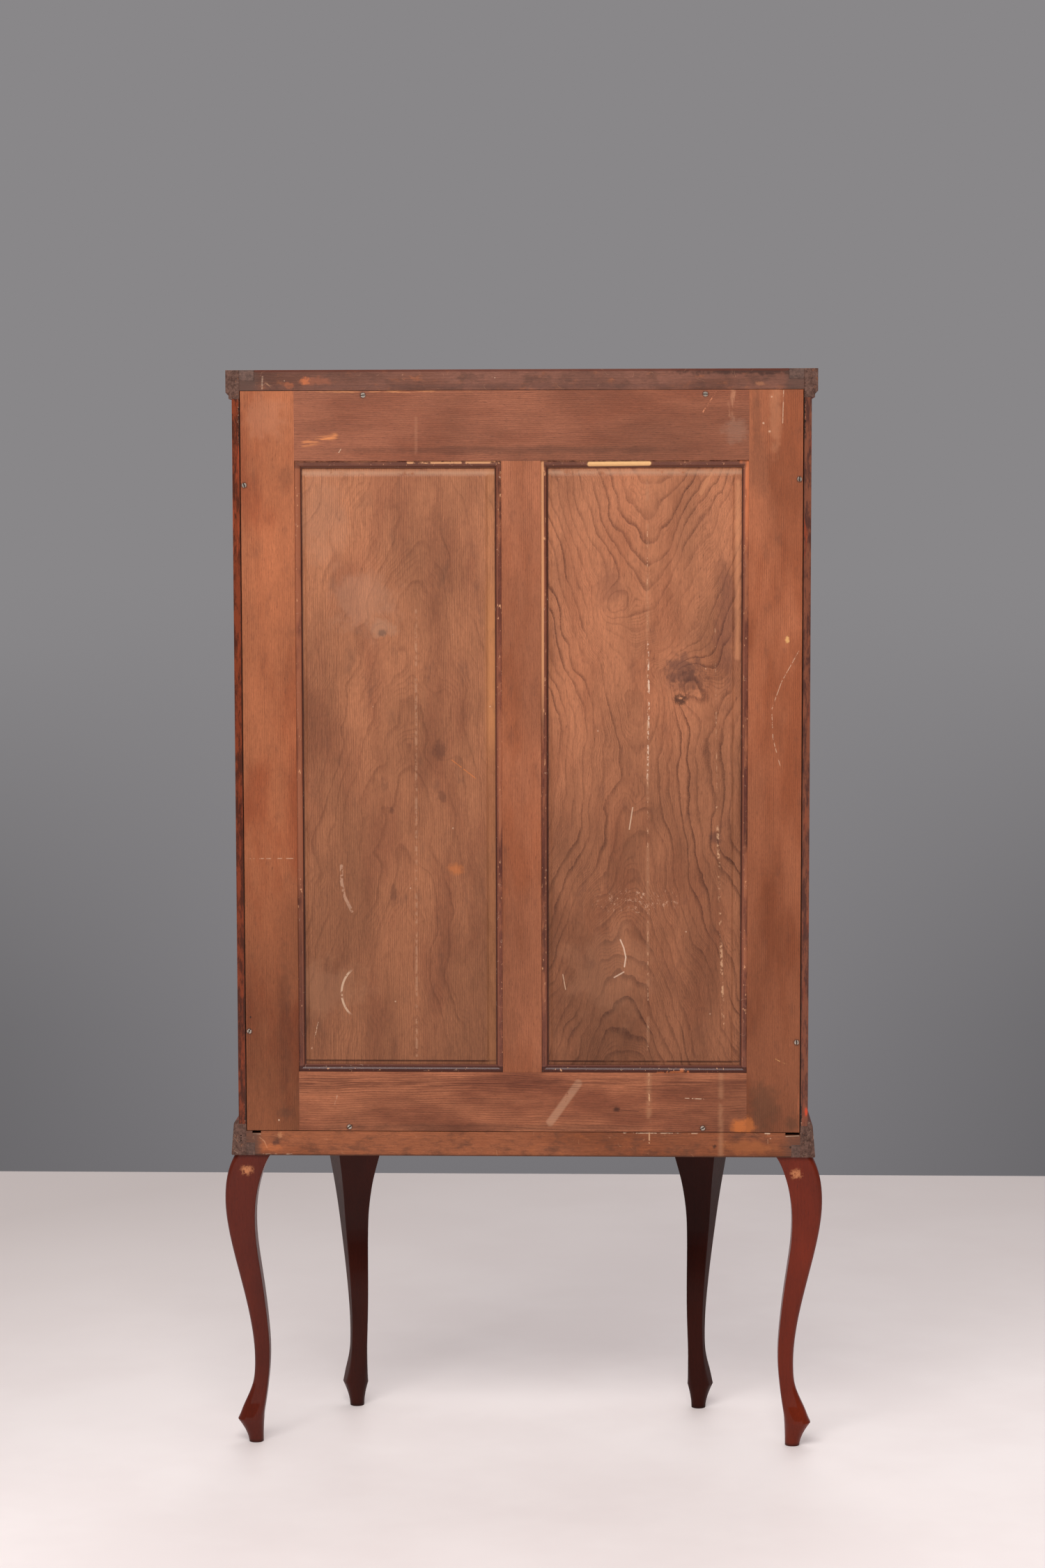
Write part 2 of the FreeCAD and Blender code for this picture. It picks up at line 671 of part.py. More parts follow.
def make_back_panel(label, side):
    """A fielded panel; it has shrunk and slipped a little to the right and down."""
    inner, muntin, sill, head = back_edges()
    edges = sorted((inner * side, muntin * side), key=lambda edge: edge.number)
    low_x = edges[0] - s.panel_lap + s.panel_drift
    high_x = edges[1] + s.panel_lap + s.panel_drift
    low_z = sill - s.panel_lap - s.panel_drop
    high_z = head + s.panel_lap - s.panel_drop

    def outline(inset):
        return [(low_x + inset, low_z + inset), (high_x - inset, low_z + inset),
                (high_x - inset, high_z - inset), (low_x + inset, high_z - inset)]

    def level(depth):
        return depth - s.back_line

    body = make_body(label, [(outline(as_size(0)), level(s.groove_from), level(s.groove_to)),
                             (outline(s.panel_tongue), level(s.panel_shoulder),
                              level(s.groove_from))], role="XZ_Plane")
    bevel = body.newObject("PartDesign::AdditiveLoft", label + "_bevel")
    bevel.Profile = add_sketch(body, "XZ_Plane", level(s.panel_shoulder),
                               outline(s.panel_tongue))
    bevel.Sections = [add_sketch(body, "XZ_Plane", level(depth), outline(inset))
                      for inset, depth in ((s.panel_bevel, s.panel_cove),
                                           (s.panel_field, s.panel_face))]
    bevel.Ruled = True
    body.Tip = bevel
    return node(body)


def bead_profile():
    """A quarter-round bead with a small fillet at its foot."""
    wide, high = s.bead_width.number, (s.bead_to - s.bead_from).number
    points = [Vector(0, 0), Vector(0, high), Vector(1.2 - wide, high * 0.34),
              Vector(-wide, high * 0.3), Vector(-wide, 0)]
    edges = [Part.makeLine(points[0], points[1]),
             Part.Arc(points[1], Vector(-wide * 0.55, high * 0.86), points[2]).toShape(),
             Part.makeLine(points[2], points[3]), Part.makeLine(points[3], points[4]),
             Part.makeLine(points[4], points[0])]
    return Part.Wire(edges)


def make_back_beads():
    """Four mitred beads round each panel opening."""
    inner, muntin, sill, head = back_edges()
    depth = s.bead_to
    corners = [at(inner, depth, sill), at(inner, depth, head), at(muntin, depth, head),
               at(muntin, depth, sill)]
    runs = mitred_runs(bead_profile(), corners, Vector(0, 1, 0), True)
    right = feature("back_beads_one_side", Part.makeCompound(runs))
    node(both_sides([right], "back_beads"))


def slotted_screw(head_radius, shank_radius, length, slot):
    """A countersunk screw with its head at the origin and its shank along -Y."""
    sink = head_radius - shank_radius
    outline = [Vector(0, 0, 0), Vector(head_radius, 0, 0), Vector(head_radius, -0.4, 0),
               Vector(shank_radius, -0.4 - sink, 0), Vector(shank_radius, 3 - length, 0),
               Vector(0, -length, 0)]
    face = Part.Face(Part.makePolygon(outline + outline[:1]))
    screw = face.revolve(Vector(0, 0, 0), Vector(0, 1, 0), 360)
    reach = head_radius + 0.5
    groove = Part.makeBox(2 * reach, slot, slot, Vector(-reach, -slot, -slot / 2))
    return screw, groove


def make_back_screws():
    """Solid screws for cutting their holes, and the slotted ones that show."""
    radius = BACK_SCREW[0] + HOLE_PLAY
    screws, holes = [], []
    for x, z, turn, sink in BACK_SCREWS:
        screw, groove = slotted_screw(*BACK_SCREW)
        groove.rotate(Vector(0, 0, 0), Vector(0, 1, 0), turn)
        place = at(x, sink, z)
        mouth = Part.makeCylinder(radius, sink, place, Vector(0, 1, 0))
        holes.append(screw.translated(place).fuse(mouth))
        screws.append(screw.cut(groove).translated(place))
    node(feature("back_screws", Part.makeCompound(screws)))
    return feature("back_screw_holes", Part.makeCompound(holes))


# ---------------------------------------------------------------- shelves

def make_shelf_pins():
    """Four pins in the sides and two in the front posts under each shelf."""
    radius, out, sunk = (size.number for size in (s.shelf_pin_radius, s.shelf_pin_out,
                                                  s.shelf_pin_sunk))
    inner = s.case_half.number - s.wall.number
    front = s.case_depth.number - s.wall.number
    pins = []
    for level in SHELF_LEVELS:
        z = level - radius
        for side in (-1, 1):
            away = Vector(side, 0, 0)
            for depth in SHELF_PIN_DEPTHS:
                start = at(side * (inner - out), depth, z)
                pins.append(Part.makeCylinder(radius, out + sunk, start, away))
            start = at(side * s.front_pin_x.number, front + sunk, z)
            length = front + sunk - s.front_pin_from.number
            pins.append(Part.makeCylinder(radius, length, start, Vector(0, 1, 0)))
    return node(feature("shelf_pins", Part.makeCompound(pins)))


def make_shelves():
    half, back, front, cant = s.shelf_half, s.shelf_back, s.shelf_front, s.shelf_cant
    right = [plan(half, back), plan(half, cant - half), plan(cant - front, front)]
    outline = right + [(-x, y) for x, y in reversed(right)]
    for name, level in zip(("bottom", "middle", "top"), SHELF_LEVELS):
        node(make_body("glass_shelf_" + name, [(outline, level, level + s.shelf_thick)]))


# ---------------------------------------------------------------- door

def door_edges():
    """Half width, sight half width, low and high edge of the door and of its sight."""
    half = front_opening() - s.door_gap
    low, high = s.sill_top + s.door_gap, s.head_under - s.door_gap
    return (half, half - s.door_stile, low, high, low + s.door_rail_low,
            high - s.door_rail_top)


def door_depths():
    """Back face, glass face and front face of the door."""
    return s.case_depth - s.door_thick, s.case_depth - s.sight_depth, s.case_depth


def make_door_wood(lock_cuts, hinge_cuts):
    half, sight, low, high, sill, head = door_edges()
    back, glass, front = door_depths()
    rebate, reach = s.rebate, sight + s.door_tenon_long
    tenon = (back + s.door_tenon_from, back + s.door_tenon_to)
    low_tenon, high_tenon = (low + rebate, sill - rebate), (head + rebate, high - rebate)

    mortise = rectangle(sight, reach, *tenon)
    step = rectangle(sight, sight + rebate, back, glass)
    stile = make_body("door_stile_blank", [(rectangle(sight, half, back, front), low, high)],
                      [(step, low, high), (mortise, *low_tenon), (mortise, *high_tenon)])
    left = mirrored(stile, "door_stile_left_blank")
    node(cut_from(stile, lock_cuts, "door_stile_lock"))
    node(cut_from(left, hinge_cuts, "door_stile_hinge"))

    face = rectangle(-sight, sight, glass, front)
    inside = rectangle(-sight - rebate, sight + rebate, back, glass)
    cheeks = rectangle(-reach, reach, *tenon)
    node(make_body("door_rail_bottom", [(face, low, sill), (inside, low, sill - rebate),
                                        (cheeks, *low_tenon)]))
    node(make_body("door_rail_top", [(face, head, high), (inside, head + rebate, high),
                                     (cheeks, *high_tenon)]))


def make_door_glazing():
    _, sight, _, _, sill, head = door_edges()
    _, glass, _ = door_depths()
    wide = sight + s.rebate
    pane = wide - s.glass_gap
    low, high = sill - s.rebate, head + s.rebate
    node(make_body("door_glass", [(rectangle(-pane, pane, glass - s.glass_thick, glass),
                                   low + s.glass_gap, high - s.glass_gap)]))
    depth = glass - s.glass_thick
    corners = [at(-wide, depth, low), at(wide, depth, low), at(wide, depth, high),
               at(-wide, depth, high)]
    node(feature("door_beads", glazing_beads(corners, Vector(0, 1, 0))))


# ---------------------------------------------------------------- hinges

def hinge_axis():
    """Plan place of the hinge pin, in the middle of the door's left gap."""
    x = -(front_opening() - s.door_gap * 0.5)
    return x, s.case_depth + s.pin_forward


def hinge_leaf(level, low_x, high_x, first):
    """A leaf with every second of five knuckles, starting at the first one given."""
    x, depth = hinge_axis()
    low, step = level - s.hinge_high.number / 2, s.hinge_high.number / 5
    back = s.case_depth - s.leaf_wide
    leaf = block(low_x, high_x, back, s.case_depth, low, low + 5 * step)
    gap = s.knuckle_gap.number
    for number in range(first, 5, 2):
        start = low + number * step + (gap if number > 0 else 0)
        height = step - gap - (gap if number < 4 and number > 0 else 0)
        leaf = leaf.fuse(block(low_x, high_x, s.case_depth, depth, start, start + height))
        leaf = leaf.fuse(Part.makeCylinder(s.knuckle_radius.number, height, at(x, depth, start)))
    bore = Part.makeCylinder((s.pin_radius + s.pin_clearance).number, 5 * step,
                             at(x, depth, low))
    return leaf.cut(bore).removeSplitter()


def leaf_screws(x, inward):
    """Three countersunk screws in each leaf, flush with its face."""
    screws = []
    for level in HINGE_LEVELS:
        for z, forward in LEAF_SCREW_PLACES:
            screw, _ = slotted_screw(*LEAF_SCREW)
            screw.rotate(Vector(0, 0, 0), UP, 90 * inward)
            screws.append(screw.translated(at(x, s.case_depth + forward, level + z)))
    return screws


def slot_heads(screws, x, inward):
    """Cut the driver slot in each leaf screw."""
    cut = []
    for number, screw in enumerate(screws):
        _, groove = slotted_screw(*LEAF_SCREW)
        groove.rotate(Vector(0, 0, 0), Vector(0, 1, 0), SLOT_TURN * (number + 0.5))
        groove.rotate(Vector(0, 0, 0), UP, 90 * inward)
        box = screw.BoundBox
        groove.translate(Vector(as_size(x).number, box.Center.y, box.Center.z))
        cut.append(screw.cut(groove))
    return cut


def make_hinges():
    """Two butt hinges; returns what the post and the door stile lose to them."""
    opening, thick = front_opening(), s.leaf_thick
    edge = opening - s.door_gap
    cuts = {}
    plates = (("frame", -opening - thick, -opening, 0, -opening, -1),
              ("door", -edge, -edge + thick, 1, -edge, 1))
    for name, low_x, high_x, first, face, inward in plates:
        screws = leaf_screws(face, inward)
        each = len(LEAF_SCREW_PLACES)
        leaves = []
        for number, level in enumerate(HINGE_LEVELS):
            leaf = hinge_leaf(level, low_x, high_x, first)
            for screw in screws[each * number:each * (number + 1)]:
                leaf = leaf.cut(screw)
            leaves.append(leaf)
        node(feature(f"hinge_{name}_leaves", Part.makeCompound(leaves)))
        node(feature(f"hinge_{name}_screws", Part.makeCompound(slot_heads(screws, face, inward))))
        back = s.case_depth - s.leaf_wide
        high = s.hinge_high.number / 2
        beds = [block(low_x, high_x, back, s.case_depth, level - high, level + high)
                for level in HINGE_LEVELS]
        cuts[name] = [feature(f"hinge_{name}_beds", Part.makeCompound(beds)),
                      feature(f"hinge_{name}_holes", Part.makeCompound(screws))]
    x, depth = hinge_axis()
    pins = []
    for level in HINGE_LEVELS:
        half, thick = (s.hinge_high * 0.5 + s.pin_over).number, s.pin_head_thick.number
        pin = Part.makeCylinder(s.pin_radius.number, 2 * half, at(x, depth, level - half))
        for end in (level - half - thick, level + half):
            head = Part.makeCylinder(s.pin_head_radius.number, thick, at(x, depth, end))
            pin = pin.fuse(head)
        pins.append(pin)
    node(feature("hinge_pins", Part.makeCompound(pins)))
    return cuts["frame"], cuts["door"]


# ---------------------------------------------------------------- lock

def lock_places():
    """Key axis, door edge and bolt levels as plain numbers."""
    half = door_edges()[0].number
    key_x, key_z = half - s.key_in.number, s.key_level.number
    bolt_low = key_z + s.bolt_rise.number
    return half, key_x, key_z, bolt_low, bolt_low + s.bolt_high.number


def keyway(depth_low, depth_high, play):
    """The round and the slot of a keyhole between two depths."""
    _, key_x, key_z, _, _ = lock_places()
    radius = s.keyhole_radius.number + play
    length = depth_high - depth_low
    hole = Part.makeCylinder(radius, length, at(key_x, depth_high, key_z), Vector(0, 1, 0))
    width = s.key_half.number + play
    slot = block(key_x - width, key_x + width, depth_low, depth_high,
                 key_z - s.key_bit.number - play - HOLE_PLAY, key_z)
    return hole.fuse(slot)


def make_lock():
    """A box lock, its bolt, key, escutcheon and strike; returns the cuts for their beds."""
    half, key_x, key_z, bolt_low, bolt_high = lock_places()
    back = door_depths()[0].number
    front = back + s.lock_deep.number
    face = s.case_depth.number
    play = s.bolt_play.number
    case_box = block(half - s.lock_wide.number, half, back, front,
                     key_z - s.lock_below.number, bolt_high + s.lock_above.number)
    bolt_from = back + s.bolt_from.number
    bolt_to = bolt_from + s.bolt_thick.number

    channel = block(half - s.bolt_room.number, half, bolt_from - play, bolt_to + play,
                    bolt_low - play, bolt_high + play)
    chamber = Part.makeCylinder(s.key_bit.number + 2 * play, bolt_to - bolt_from + 2 * play,
                                at(key_x, bolt_to + play, key_z), Vector(0, 1, 0))
    case = case_box.cut(channel).cut(chamber).cut(keyway(bolt_to, front, 0.4))
    node(feature("lock_case", case))

    tip = half - s.bolt_short.number
    bolt = block(half - s.bolt_long.number, tip, bolt_from, bolt_to, bolt_low, bolt_high)
    bolt = bolt.makeFillet(s.bolt_round.number, [edge for edge in bolt.Edges
                                                 if abs(edge.CenterOfMass.x - tip) < 0.01])
    node(feature("lock_bolt", bolt))

    reach = 2 * s.back_line.number
    neck = reach - s.bow_from.number
    shank = Part.makeCylinder(s.shank_radius.number, neck - bolt_from, at(key_x, neck, key_z),
                              Vector(0, 1, 0))
    collar = Part.makeCylinder(s.collar_radius.number, s.collar_wide.number,
                               at(key_x, face + s.collar_out.number, key_z), Vector(0, 1, 0))
    thin = s.key_half.number
    bit = block(key_x - thin, key_x + thin, bolt_from + 0.4, bolt_to - 0.4,
                key_z - s.key_bit.number, key_z)
    bow = Part.makeTorus(s.bow_radius.number, s.bow_wire.number)
    bow.rotate(Vector(0, 0, 0), Vector(0, 1, 0), 90)
    bow.translate(at(key_x, reach - s.bow_middle.number, key_z))
    key = shank.fuse(collar).fuse(bit).fuse(bow)
    node(feature("key", key.removeSplitter()))

    thick, middle = s.plate_thick.number, key_z - s.plate_drop.number
    plate = Part.makeCylinder(s.plate_radius.number, thick, at(key_x, face + thick, middle),
                              Vector(0, 1, 0))
    for lift in (-9.5, 9.5):
        end = Part.makeCylinder(s.plate_tip.number, thick, at(key_x, face + thick, middle + lift),
                                Vector(0, 1, 0))
        plate = plate.fuse(end)
    node(feature("escutcheon", plate.cut(keyway(face - 1, face + 2, 0.2)).removeSplitter()))

    opening = front_opening().number
    side, end = s.strike_side.number, s.strike_end.number
    strike_box = block(opening, opening + thick, bolt_from - side, bolt_to + side,
                       bolt_low - end, bolt_high + end)
    mouth = block(opening, opening + s.mortise_deep.number, bolt_from - 2 * play,
                  bolt_to + 2 * play, bolt_low - 2 * play, bolt_high + 2 * play)
    node(feature("strike_plate", strike_box.cut(mouth)))
    stile_hole = keyway(front, face, 0.4)
    return ([feature("lock_bed", case_box), feature("keyhole", stile_hole)],
            [feature("strike_bed", strike_box), feature("bolt_mortise", mouth)])


# ---------------------------------------------------------------- build and write

def build():
    dowels = make_dowels()
    screws = make_back_screws()
    pins = make_shelf_pins()
    post_hinge_cuts, stile_hinge_cuts = make_hinges()
    lock_cuts, strike_cuts = make_lock()
    make_legs(dowels)
    make_base_frame(dowels, screws)
    make_top_frame(screws, make_boards())
    make_mouldings("base_moulding", base_profile())
    make_mouldings("cornice", cornice_profile())
    make_side_boards(screws, pins)
    make_cants()
    make_front_posts(pins, post_hinge_cuts, strike_cuts)
    make_back_frame(screws)
    for side, name in ((-1, "left"), (1, "right")):
        make_back_panel("back_panel_" + name, side)
    make_back_beads()
    make_shelves()
    make_door_wood(lock_cuts, stile_hinge_cuts)
    make_door_glazing()
    doc.recompute()


def check():
    """Stop with the names of failed objects and bad shapes."""
    failed = [thing.Label for thing in doc.Objects
              if "Invalid" in thing.State or "Error" in thing.State]
    bad = [thing.Label for thing in nodes if thing.Shape.isNull() or not thing.Shape.isValid()]
    if failed or bad:
        raise RuntimeError(f"failed: {failed}; bad shapes: {bad}")


def write():
    os.makedirs("parts", exist_ok=True)
    for thing in nodes:
        thing.Shape.exportStep(f"parts/{thing.Label}.step")
    print(len(nodes), "nodes written")


build()
check()
write()
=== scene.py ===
import math

import bpy
from mathutils import Matrix, Vector

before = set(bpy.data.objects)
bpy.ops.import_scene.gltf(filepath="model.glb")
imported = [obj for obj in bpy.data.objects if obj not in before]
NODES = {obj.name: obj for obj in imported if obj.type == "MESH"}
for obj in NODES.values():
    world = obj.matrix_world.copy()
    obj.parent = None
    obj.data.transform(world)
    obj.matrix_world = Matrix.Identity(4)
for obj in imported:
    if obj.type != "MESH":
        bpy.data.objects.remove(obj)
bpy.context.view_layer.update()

MM = 1000.0  # millimetres in a metre: every material below works in millimetres of the row frame


def tone(red, green, blue):
    """A display colour, 0 to 255, as the linear colour a shader takes."""
    linear = [((c / 255 + 0.055) / 1.055) ** 2.4 if c > 10 else c / 255 / 12.92 for c in (red, green, blue)]
    return (*linear, 1.0)


# ---------------------------------------------------------------- materials


class Paint:
    """One procedural material: a Principled shader and short names for the nodes that feed it."""

    def __init__(self, name, **constants):
        self.made = bpy.data.materials.new(name)
        self.made.use_nodes = True
        self.tree = self.made.node_tree
        self.tree.nodes.clear()
        self.shader = self.tree.nodes.new("ShaderNodeBsdfPrincipled")
        output = self.tree.nodes.new("ShaderNodeOutputMaterial")
        self.tree.links.new(self.shader.outputs[0], output.inputs[0])
        for socket, value in constants.items():
            self.shader.inputs[socket.replace("_", " ")].default_value = value
        place = self.tree.nodes.new("ShaderNodeTexCoord").outputs["Object"]
        self.place = self.vector("SCALE", place, scale=MM)
        split = self.tree.nodes.new("ShaderNodeSeparateXYZ")
        self.feed(split.inputs[0], self.place)
        self.x, self.y, self.z = split.outputs
        self.colour = None
        self.height = None
        self.rough = None

    def feed(self, socket, value):
        if isinstance(value, bpy.types.NodeSocket):
            self.tree.links.new(value, socket)
        elif value is not None:
            socket.default_value = value

    def math(self, operation, first, second=None, third=None):
        node = self.tree.nodes.new("ShaderNodeMath")
        node.operation = operation
        for socket, value in zip(node.inputs, (first, second, third)):
            self.feed(socket, value)
        return node.outputs[0]

    def vector(self, operation, first, second=None, scale=None):
        node = self.tree.nodes.new("ShaderNodeVectorMath")
        node.operation = operation
        self.feed(node.inputs[0], first)
        self.feed(node.inputs[1], second)
        if scale is not None:
            self.feed(node.inputs["Scale"], scale)
        return node.outputs["Value"] if operation in ("LENGTH", "DOT_PRODUCT") else node.outputs["Vector"]

    def join(self, x, y, z):
        node = self.tree.nodes.new("ShaderNodeCombineXYZ")
        for socket, value in zip(node.inputs, (x, y, z)):
            self.feed(socket, value)
        return node.outputs[0]

    def noise(self, where, size, detail=2.0, roughness=0.5, colour=False):
        """Noise whose features are about size millimetres along each axis of where."""
        scaled = self.vector("DIVIDE", where, size if isinstance(size, tuple) else (size,) * 3)
        node = self.tree.nodes.new("ShaderNodeTexNoise")
        self.feed(node.inputs["Vector"], scaled)
        node.inputs["Scale"].default_value = 1.0
        node.inputs["Detail"].default_value = detail
        node.inputs["Roughness"].default_value = roughness
        return node.outputs["Color" if colour else "Fac"]

    def wander(self, where, size, roughness, reach, detail=2.0):
        """An offset in millimetres that drifts about zero: coloured noise times reach."""
        noise = self.noise(where, size, detail, roughness, colour=True)
        return self.vector("SCALE", self.vector("SUBTRACT", noise, (0.5, 0.5, 0.5)), scale=reach)

    def between(self, value, low, high, start=0.0, end=1.0, smooth=True):
        node = self.tree.nodes.new("ShaderNodeMapRange")
        node.interpolation_type = "SMOOTHSTEP" if smooth else "LINEAR"
        for socket, item in zip(node.inputs, (value, low, high, start, end)):
            self.feed(socket, item)
        return node.outputs[0]

    def mix(self, factor, first, second, how="MIX"):
        node = self.tree.nodes.new("ShaderNodeMix")
        node.data_type = "RGBA"
        node.blend_type = how
        for index, value in ((0, factor), (6, first), (7, second)):
            self.feed(node.inputs[index], value)
        return node.outputs[2]

    def both(self, first, second):
        return self.math("MULTIPLY", first, second)

    def most(self, first, second):
        return self.math("MAXIMUM", first, second)

    def hairs(self, size, fine=0.006, kept=0.56):
        """Fine wandering scratches, in places."""
        gap = self.math("ABSOLUTE", self.math("SUBTRACT", self.noise(self.place, size, 1.0, 0.4), 0.5))
        patches = self.between(self.noise(self.place, size * 0.9, 2.0, 0.6), kept, kept + 0.1)
        return self.both(self.between(gap, fine, fine * 0.4), patches)

    # marks on the surface: each gives a mask, 0 to 1, in the x-z plane of the row frame

    def spot(self, x, z, across, up, ragged=0.5, grain=6.0):
        """A soft patch centred on x, z."""
        reach = self.vector("LENGTH", self.join(
            self.math("DIVIDE", self.math("SUBTRACT", self.x, x), across),
            0.0,
            self.math("DIVIDE", self.math("SUBTRACT", self.z, z), up),
        ))
        wobble = self.both(self.math("SUBTRACT", self.noise(self.place, grain, 4.0, 0.6), 0.5), ragged * 2)
        return self.between(self.math("ADD", reach, wobble), 1.0, 0.35)

    def stroke(self, start, end, width, broken=0.0, grain=8.0, crisp=0.5):
        """A thin line from start to end, each an (x, z) pair."""
        run = (end[0] - start[0], end[1] - start[1])
        long = run[0] ** 2 + run[1] ** 2
        away = self.vector("SUBTRACT", self.join(self.x, 0.0, self.z), (start[0], 0.0, start[1]))
        along = self.math("DIVIDE", self.vector("DOT_PRODUCT", away, (run[0], 0.0, run[1])), long)
        held = self.math("MINIMUM", self.math("MAXIMUM", along, 0.0), 1.0)
        foot = self.vector("SCALE", (run[0], 0.0, run[1]), scale=held)
        gap = self.vector("LENGTH", self.vector("SUBTRACT", away, foot))
        line = self.between(gap, width / 2, width / 2 * crisp)
        if broken:
            line = self.both(line,
                             self.between(self.noise(self.place, grain, 3.0, 0.7), broken,
                                          broken + 0.16 - 0.16 * crisp))
        return line

    def band(self, x, low, high, width):
        """A soft upright band, as left by water that ran down."""
        return self.stroke((x, low), (x, high), width * 1.5, 0.36, 40.0, 0.0)

    def streaked(self, mask, size):
        """A mask broken up into streaks of this size."""
        return self.both(mask, self.between(self.noise(self.place, size, 3.0, 0.6), 0.42, 0.6))

    def path(self, points, width, broken=0.0):
        """A line through several points."""
        line = self.stroke(points[0], points[1], width, broken)
        for start, end in zip(points[1:], points[2:]):
            line = self.most(line, self.stroke(start, end, width, broken))
        return line

    def bow(self, centre, radius, low, high, width, side=1.0, broken=0.0):
        """A curved scratch: part of a circle between two heights, on one side of its centre."""
        away = self.join(self.math("SUBTRACT", self.x, centre[0]), 0.0,
                         self.math("SUBTRACT", self.z, centre[1]))
        gap = self.math("ABSOLUTE", self.math("SUBTRACT", self.vector("LENGTH", away), radius))
        line = self.between(gap, width / 2, width / 4)
        line = self.both(line,
                         self.between(self.both(self.math("SUBTRACT", self.x, centre[0]), side), 0.0, 1.0))
        line = self.both(line,
                         self.both(self.between(self.z, low - 4.0, low + 4.0),
                                   self.between(self.z, high + 4.0, high - 4.0)))
        if broken:
            line = self.both(line,
                             self.between(self.noise(self.place, 8.0, 3.0, 0.7), broken, broken + 0.08))
        return line

    def back_only(self, mask, beyond=100.0):
        """A mask kept to the surfaces behind y = beyond."""
        return self.both(mask, self.math("GREATER_THAN", self.y, beyond))

    def stain(self, mask, colour, strength=1.0, how="MIX"):
        self.colour = self.mix(self.both(mask, strength) if strength != 1.0 else mask, self.colour,
                               colour, how)

    def done(self, bump=0.0, depth=0.0006):
        """Joins the colour, the roughness and the bump to the shader."""
        self.feed(self.shader.inputs["Base Color"], self.colour)
        if self.rough is not None:
            self.feed(self.shader.inputs["Roughness"], self.rough)
        if bump and self.height is not None:
            node = self.tree.nodes.new("ShaderNodeBump")
            node.inputs["Strength"].default_value = bump
            node.inputs["Distance"].default_value = depth
            self.feed(node.inputs["Height"], self.height)
            self.feed(self.shader.inputs["Normal"], node.outputs[0])
        return self.made


def plain_rings(paint, q, ring, centre, sway):
    """Growth rings of a board cut well away from the heart: nearly straight lines along the grain."""
    drift = paint.wander(q, (90.0, 90.0, 420.0), 0.45, sway * 2)
    wave = paint.wander(q, (50.0, 50.0, 100.0), 0.5, sway * 0.5)
    moved = paint.vector("ADD", paint.vector("ADD", q, drift), wave)
    flat = paint.vector("MULTIPLY", moved, (1.0, 1.0, 0.0))
    away = paint.vector("LENGTH", paint.vector("SUBTRACT", flat, (centre[0], centre[1], 0.0)))
    return paint.math("DIVIDE", away, ring)


def wood(name, light, dark, axis="z", seed=0.0, ring=2.4, centre=(-1500.0, 700.0), sway=9.0, line=0.55,
         fibre=0.35, blotch=0.3, warm=None, rough=0.5, coat=0.0, rings=plain_rings, ease=0.5,
         hair=0.0, low=1.0, shine=0.25, gloss=0.16):
    """Stained wood with its grain along one axis: rings, fibres, pores and a slow drift of tone."""
    paint = Paint(name, Roughness=rough, Coat_Weight=coat, Coat_Roughness=gloss, Specular_IOR_Level=shine)
    order = {"x": (paint.z, paint.y, paint.x), "y": (paint.x, paint.z, paint.y),
             "z": (paint.x, paint.y, paint.z)}
    q = paint.join(*order[axis])
    moved = paint.vector("ADD", q, (seed * 131.0, seed * 57.0, seed * 311.0))
    phase = rings(paint, moved if rings is plain_rings else q, ring, centre, sway)
    saw = paint.math("FRACT", phase)
    late = paint.both(paint.between(saw, ease, 0.93), paint.between(saw, 1.0, 0.94))
    each = paint.tree.nodes.new("ShaderNodeTexWhiteNoise")
    each.noise_dimensions = "1D"
    paint.feed(each.inputs["W"], paint.math("FLOOR", phase))
    uneven = paint.between(each.outputs["Value"], 0.0, 1.0, 0.35, 1.0, smooth=False)
    fade = paint.between(paint.noise(moved, (24.0, 24.0, 200.0), 2.0), 0.32, 0.68, 0.3, 1.0)
    rough_line = paint.between(paint.noise(moved, 1.8, 2.0, 0.6), 0.3, 0.6, 0.55, 1.0)
    band = paint.both(paint.both(paint.both(late, fade), paint.both(uneven, rough_line)), line)
    if hair:
        thin = paint.math("FRACT", paint.both(phase, 5.0))
        thin = paint.both(paint.between(thin, 0.45, 0.9), paint.between(thin, 1.0, 0.92))
        patchy = paint.between(paint.noise(moved, (40.0, 40.0, 70.0), 3.0), 0.4, 0.65)
        band = paint.most(band, paint.both(paint.both(thin, patchy), hair))
    strand = paint.noise(moved, (1.3, 1.3, 30.0), 4.0, 0.7)
    fleck = paint.noise(moved, (1.7, 1.7, 7.0), 3.0, 0.75)
    slow = paint.noise(moved, (60.0, 60.0, 190.0), 3.0, 0.55)
    pores = paint.between(paint.noise(moved, (0.9, 0.9, 10.0), 2.0, 0.5), 0.62, 0.72)
    colour = paint.mix(band, light, dark)
    if warm is not None:
        colour = paint.mix(paint.between(slow, 0.42, 0.68), colour, paint.mix(band, warm, dark))
    shade = paint.between(strand, 0.3, 0.7, 1.0 - fibre * 0.7, 1.0 + fibre * 0.45, smooth=False)
    grit = paint.between(fleck, 0.25, 0.75, 1.0 - fibre * 0.7, 1.0 + fibre * 0.7, smooth=False)
    broad = paint.between(paint.noise(moved, (130.0, 130.0, 330.0), 3.0, 0.6), 0.3, 0.7, 1.0 - blotch,
                          1.0 + blotch * 0.5)
    tint = paint.both(paint.both(shade, grit), broad)
    # Darker towards the floor when low is below 1: partly grime, partly painted shade standing in for the
    # light that falls off low down.
    if low != 1.0:
        tint = paint.both(tint, paint.between(paint.z, 440.0, 1300.0, low, 1.0))
    colour = paint.mix(1.0, colour, tint, "MULTIPLY")
    paint.colour = paint.mix(paint.both(pores, 0.45), colour, dark)
    paint.height = paint.math("SUBTRACT", paint.math("SUBTRACT", strand, paint.both(late, 0.5)),
                              paint.both(pores, 0.6))
    paint.rough = paint.between(strand, 0.2, 0.8, rough + 0.08, rough - 0.08, smooth=False)
    return paint


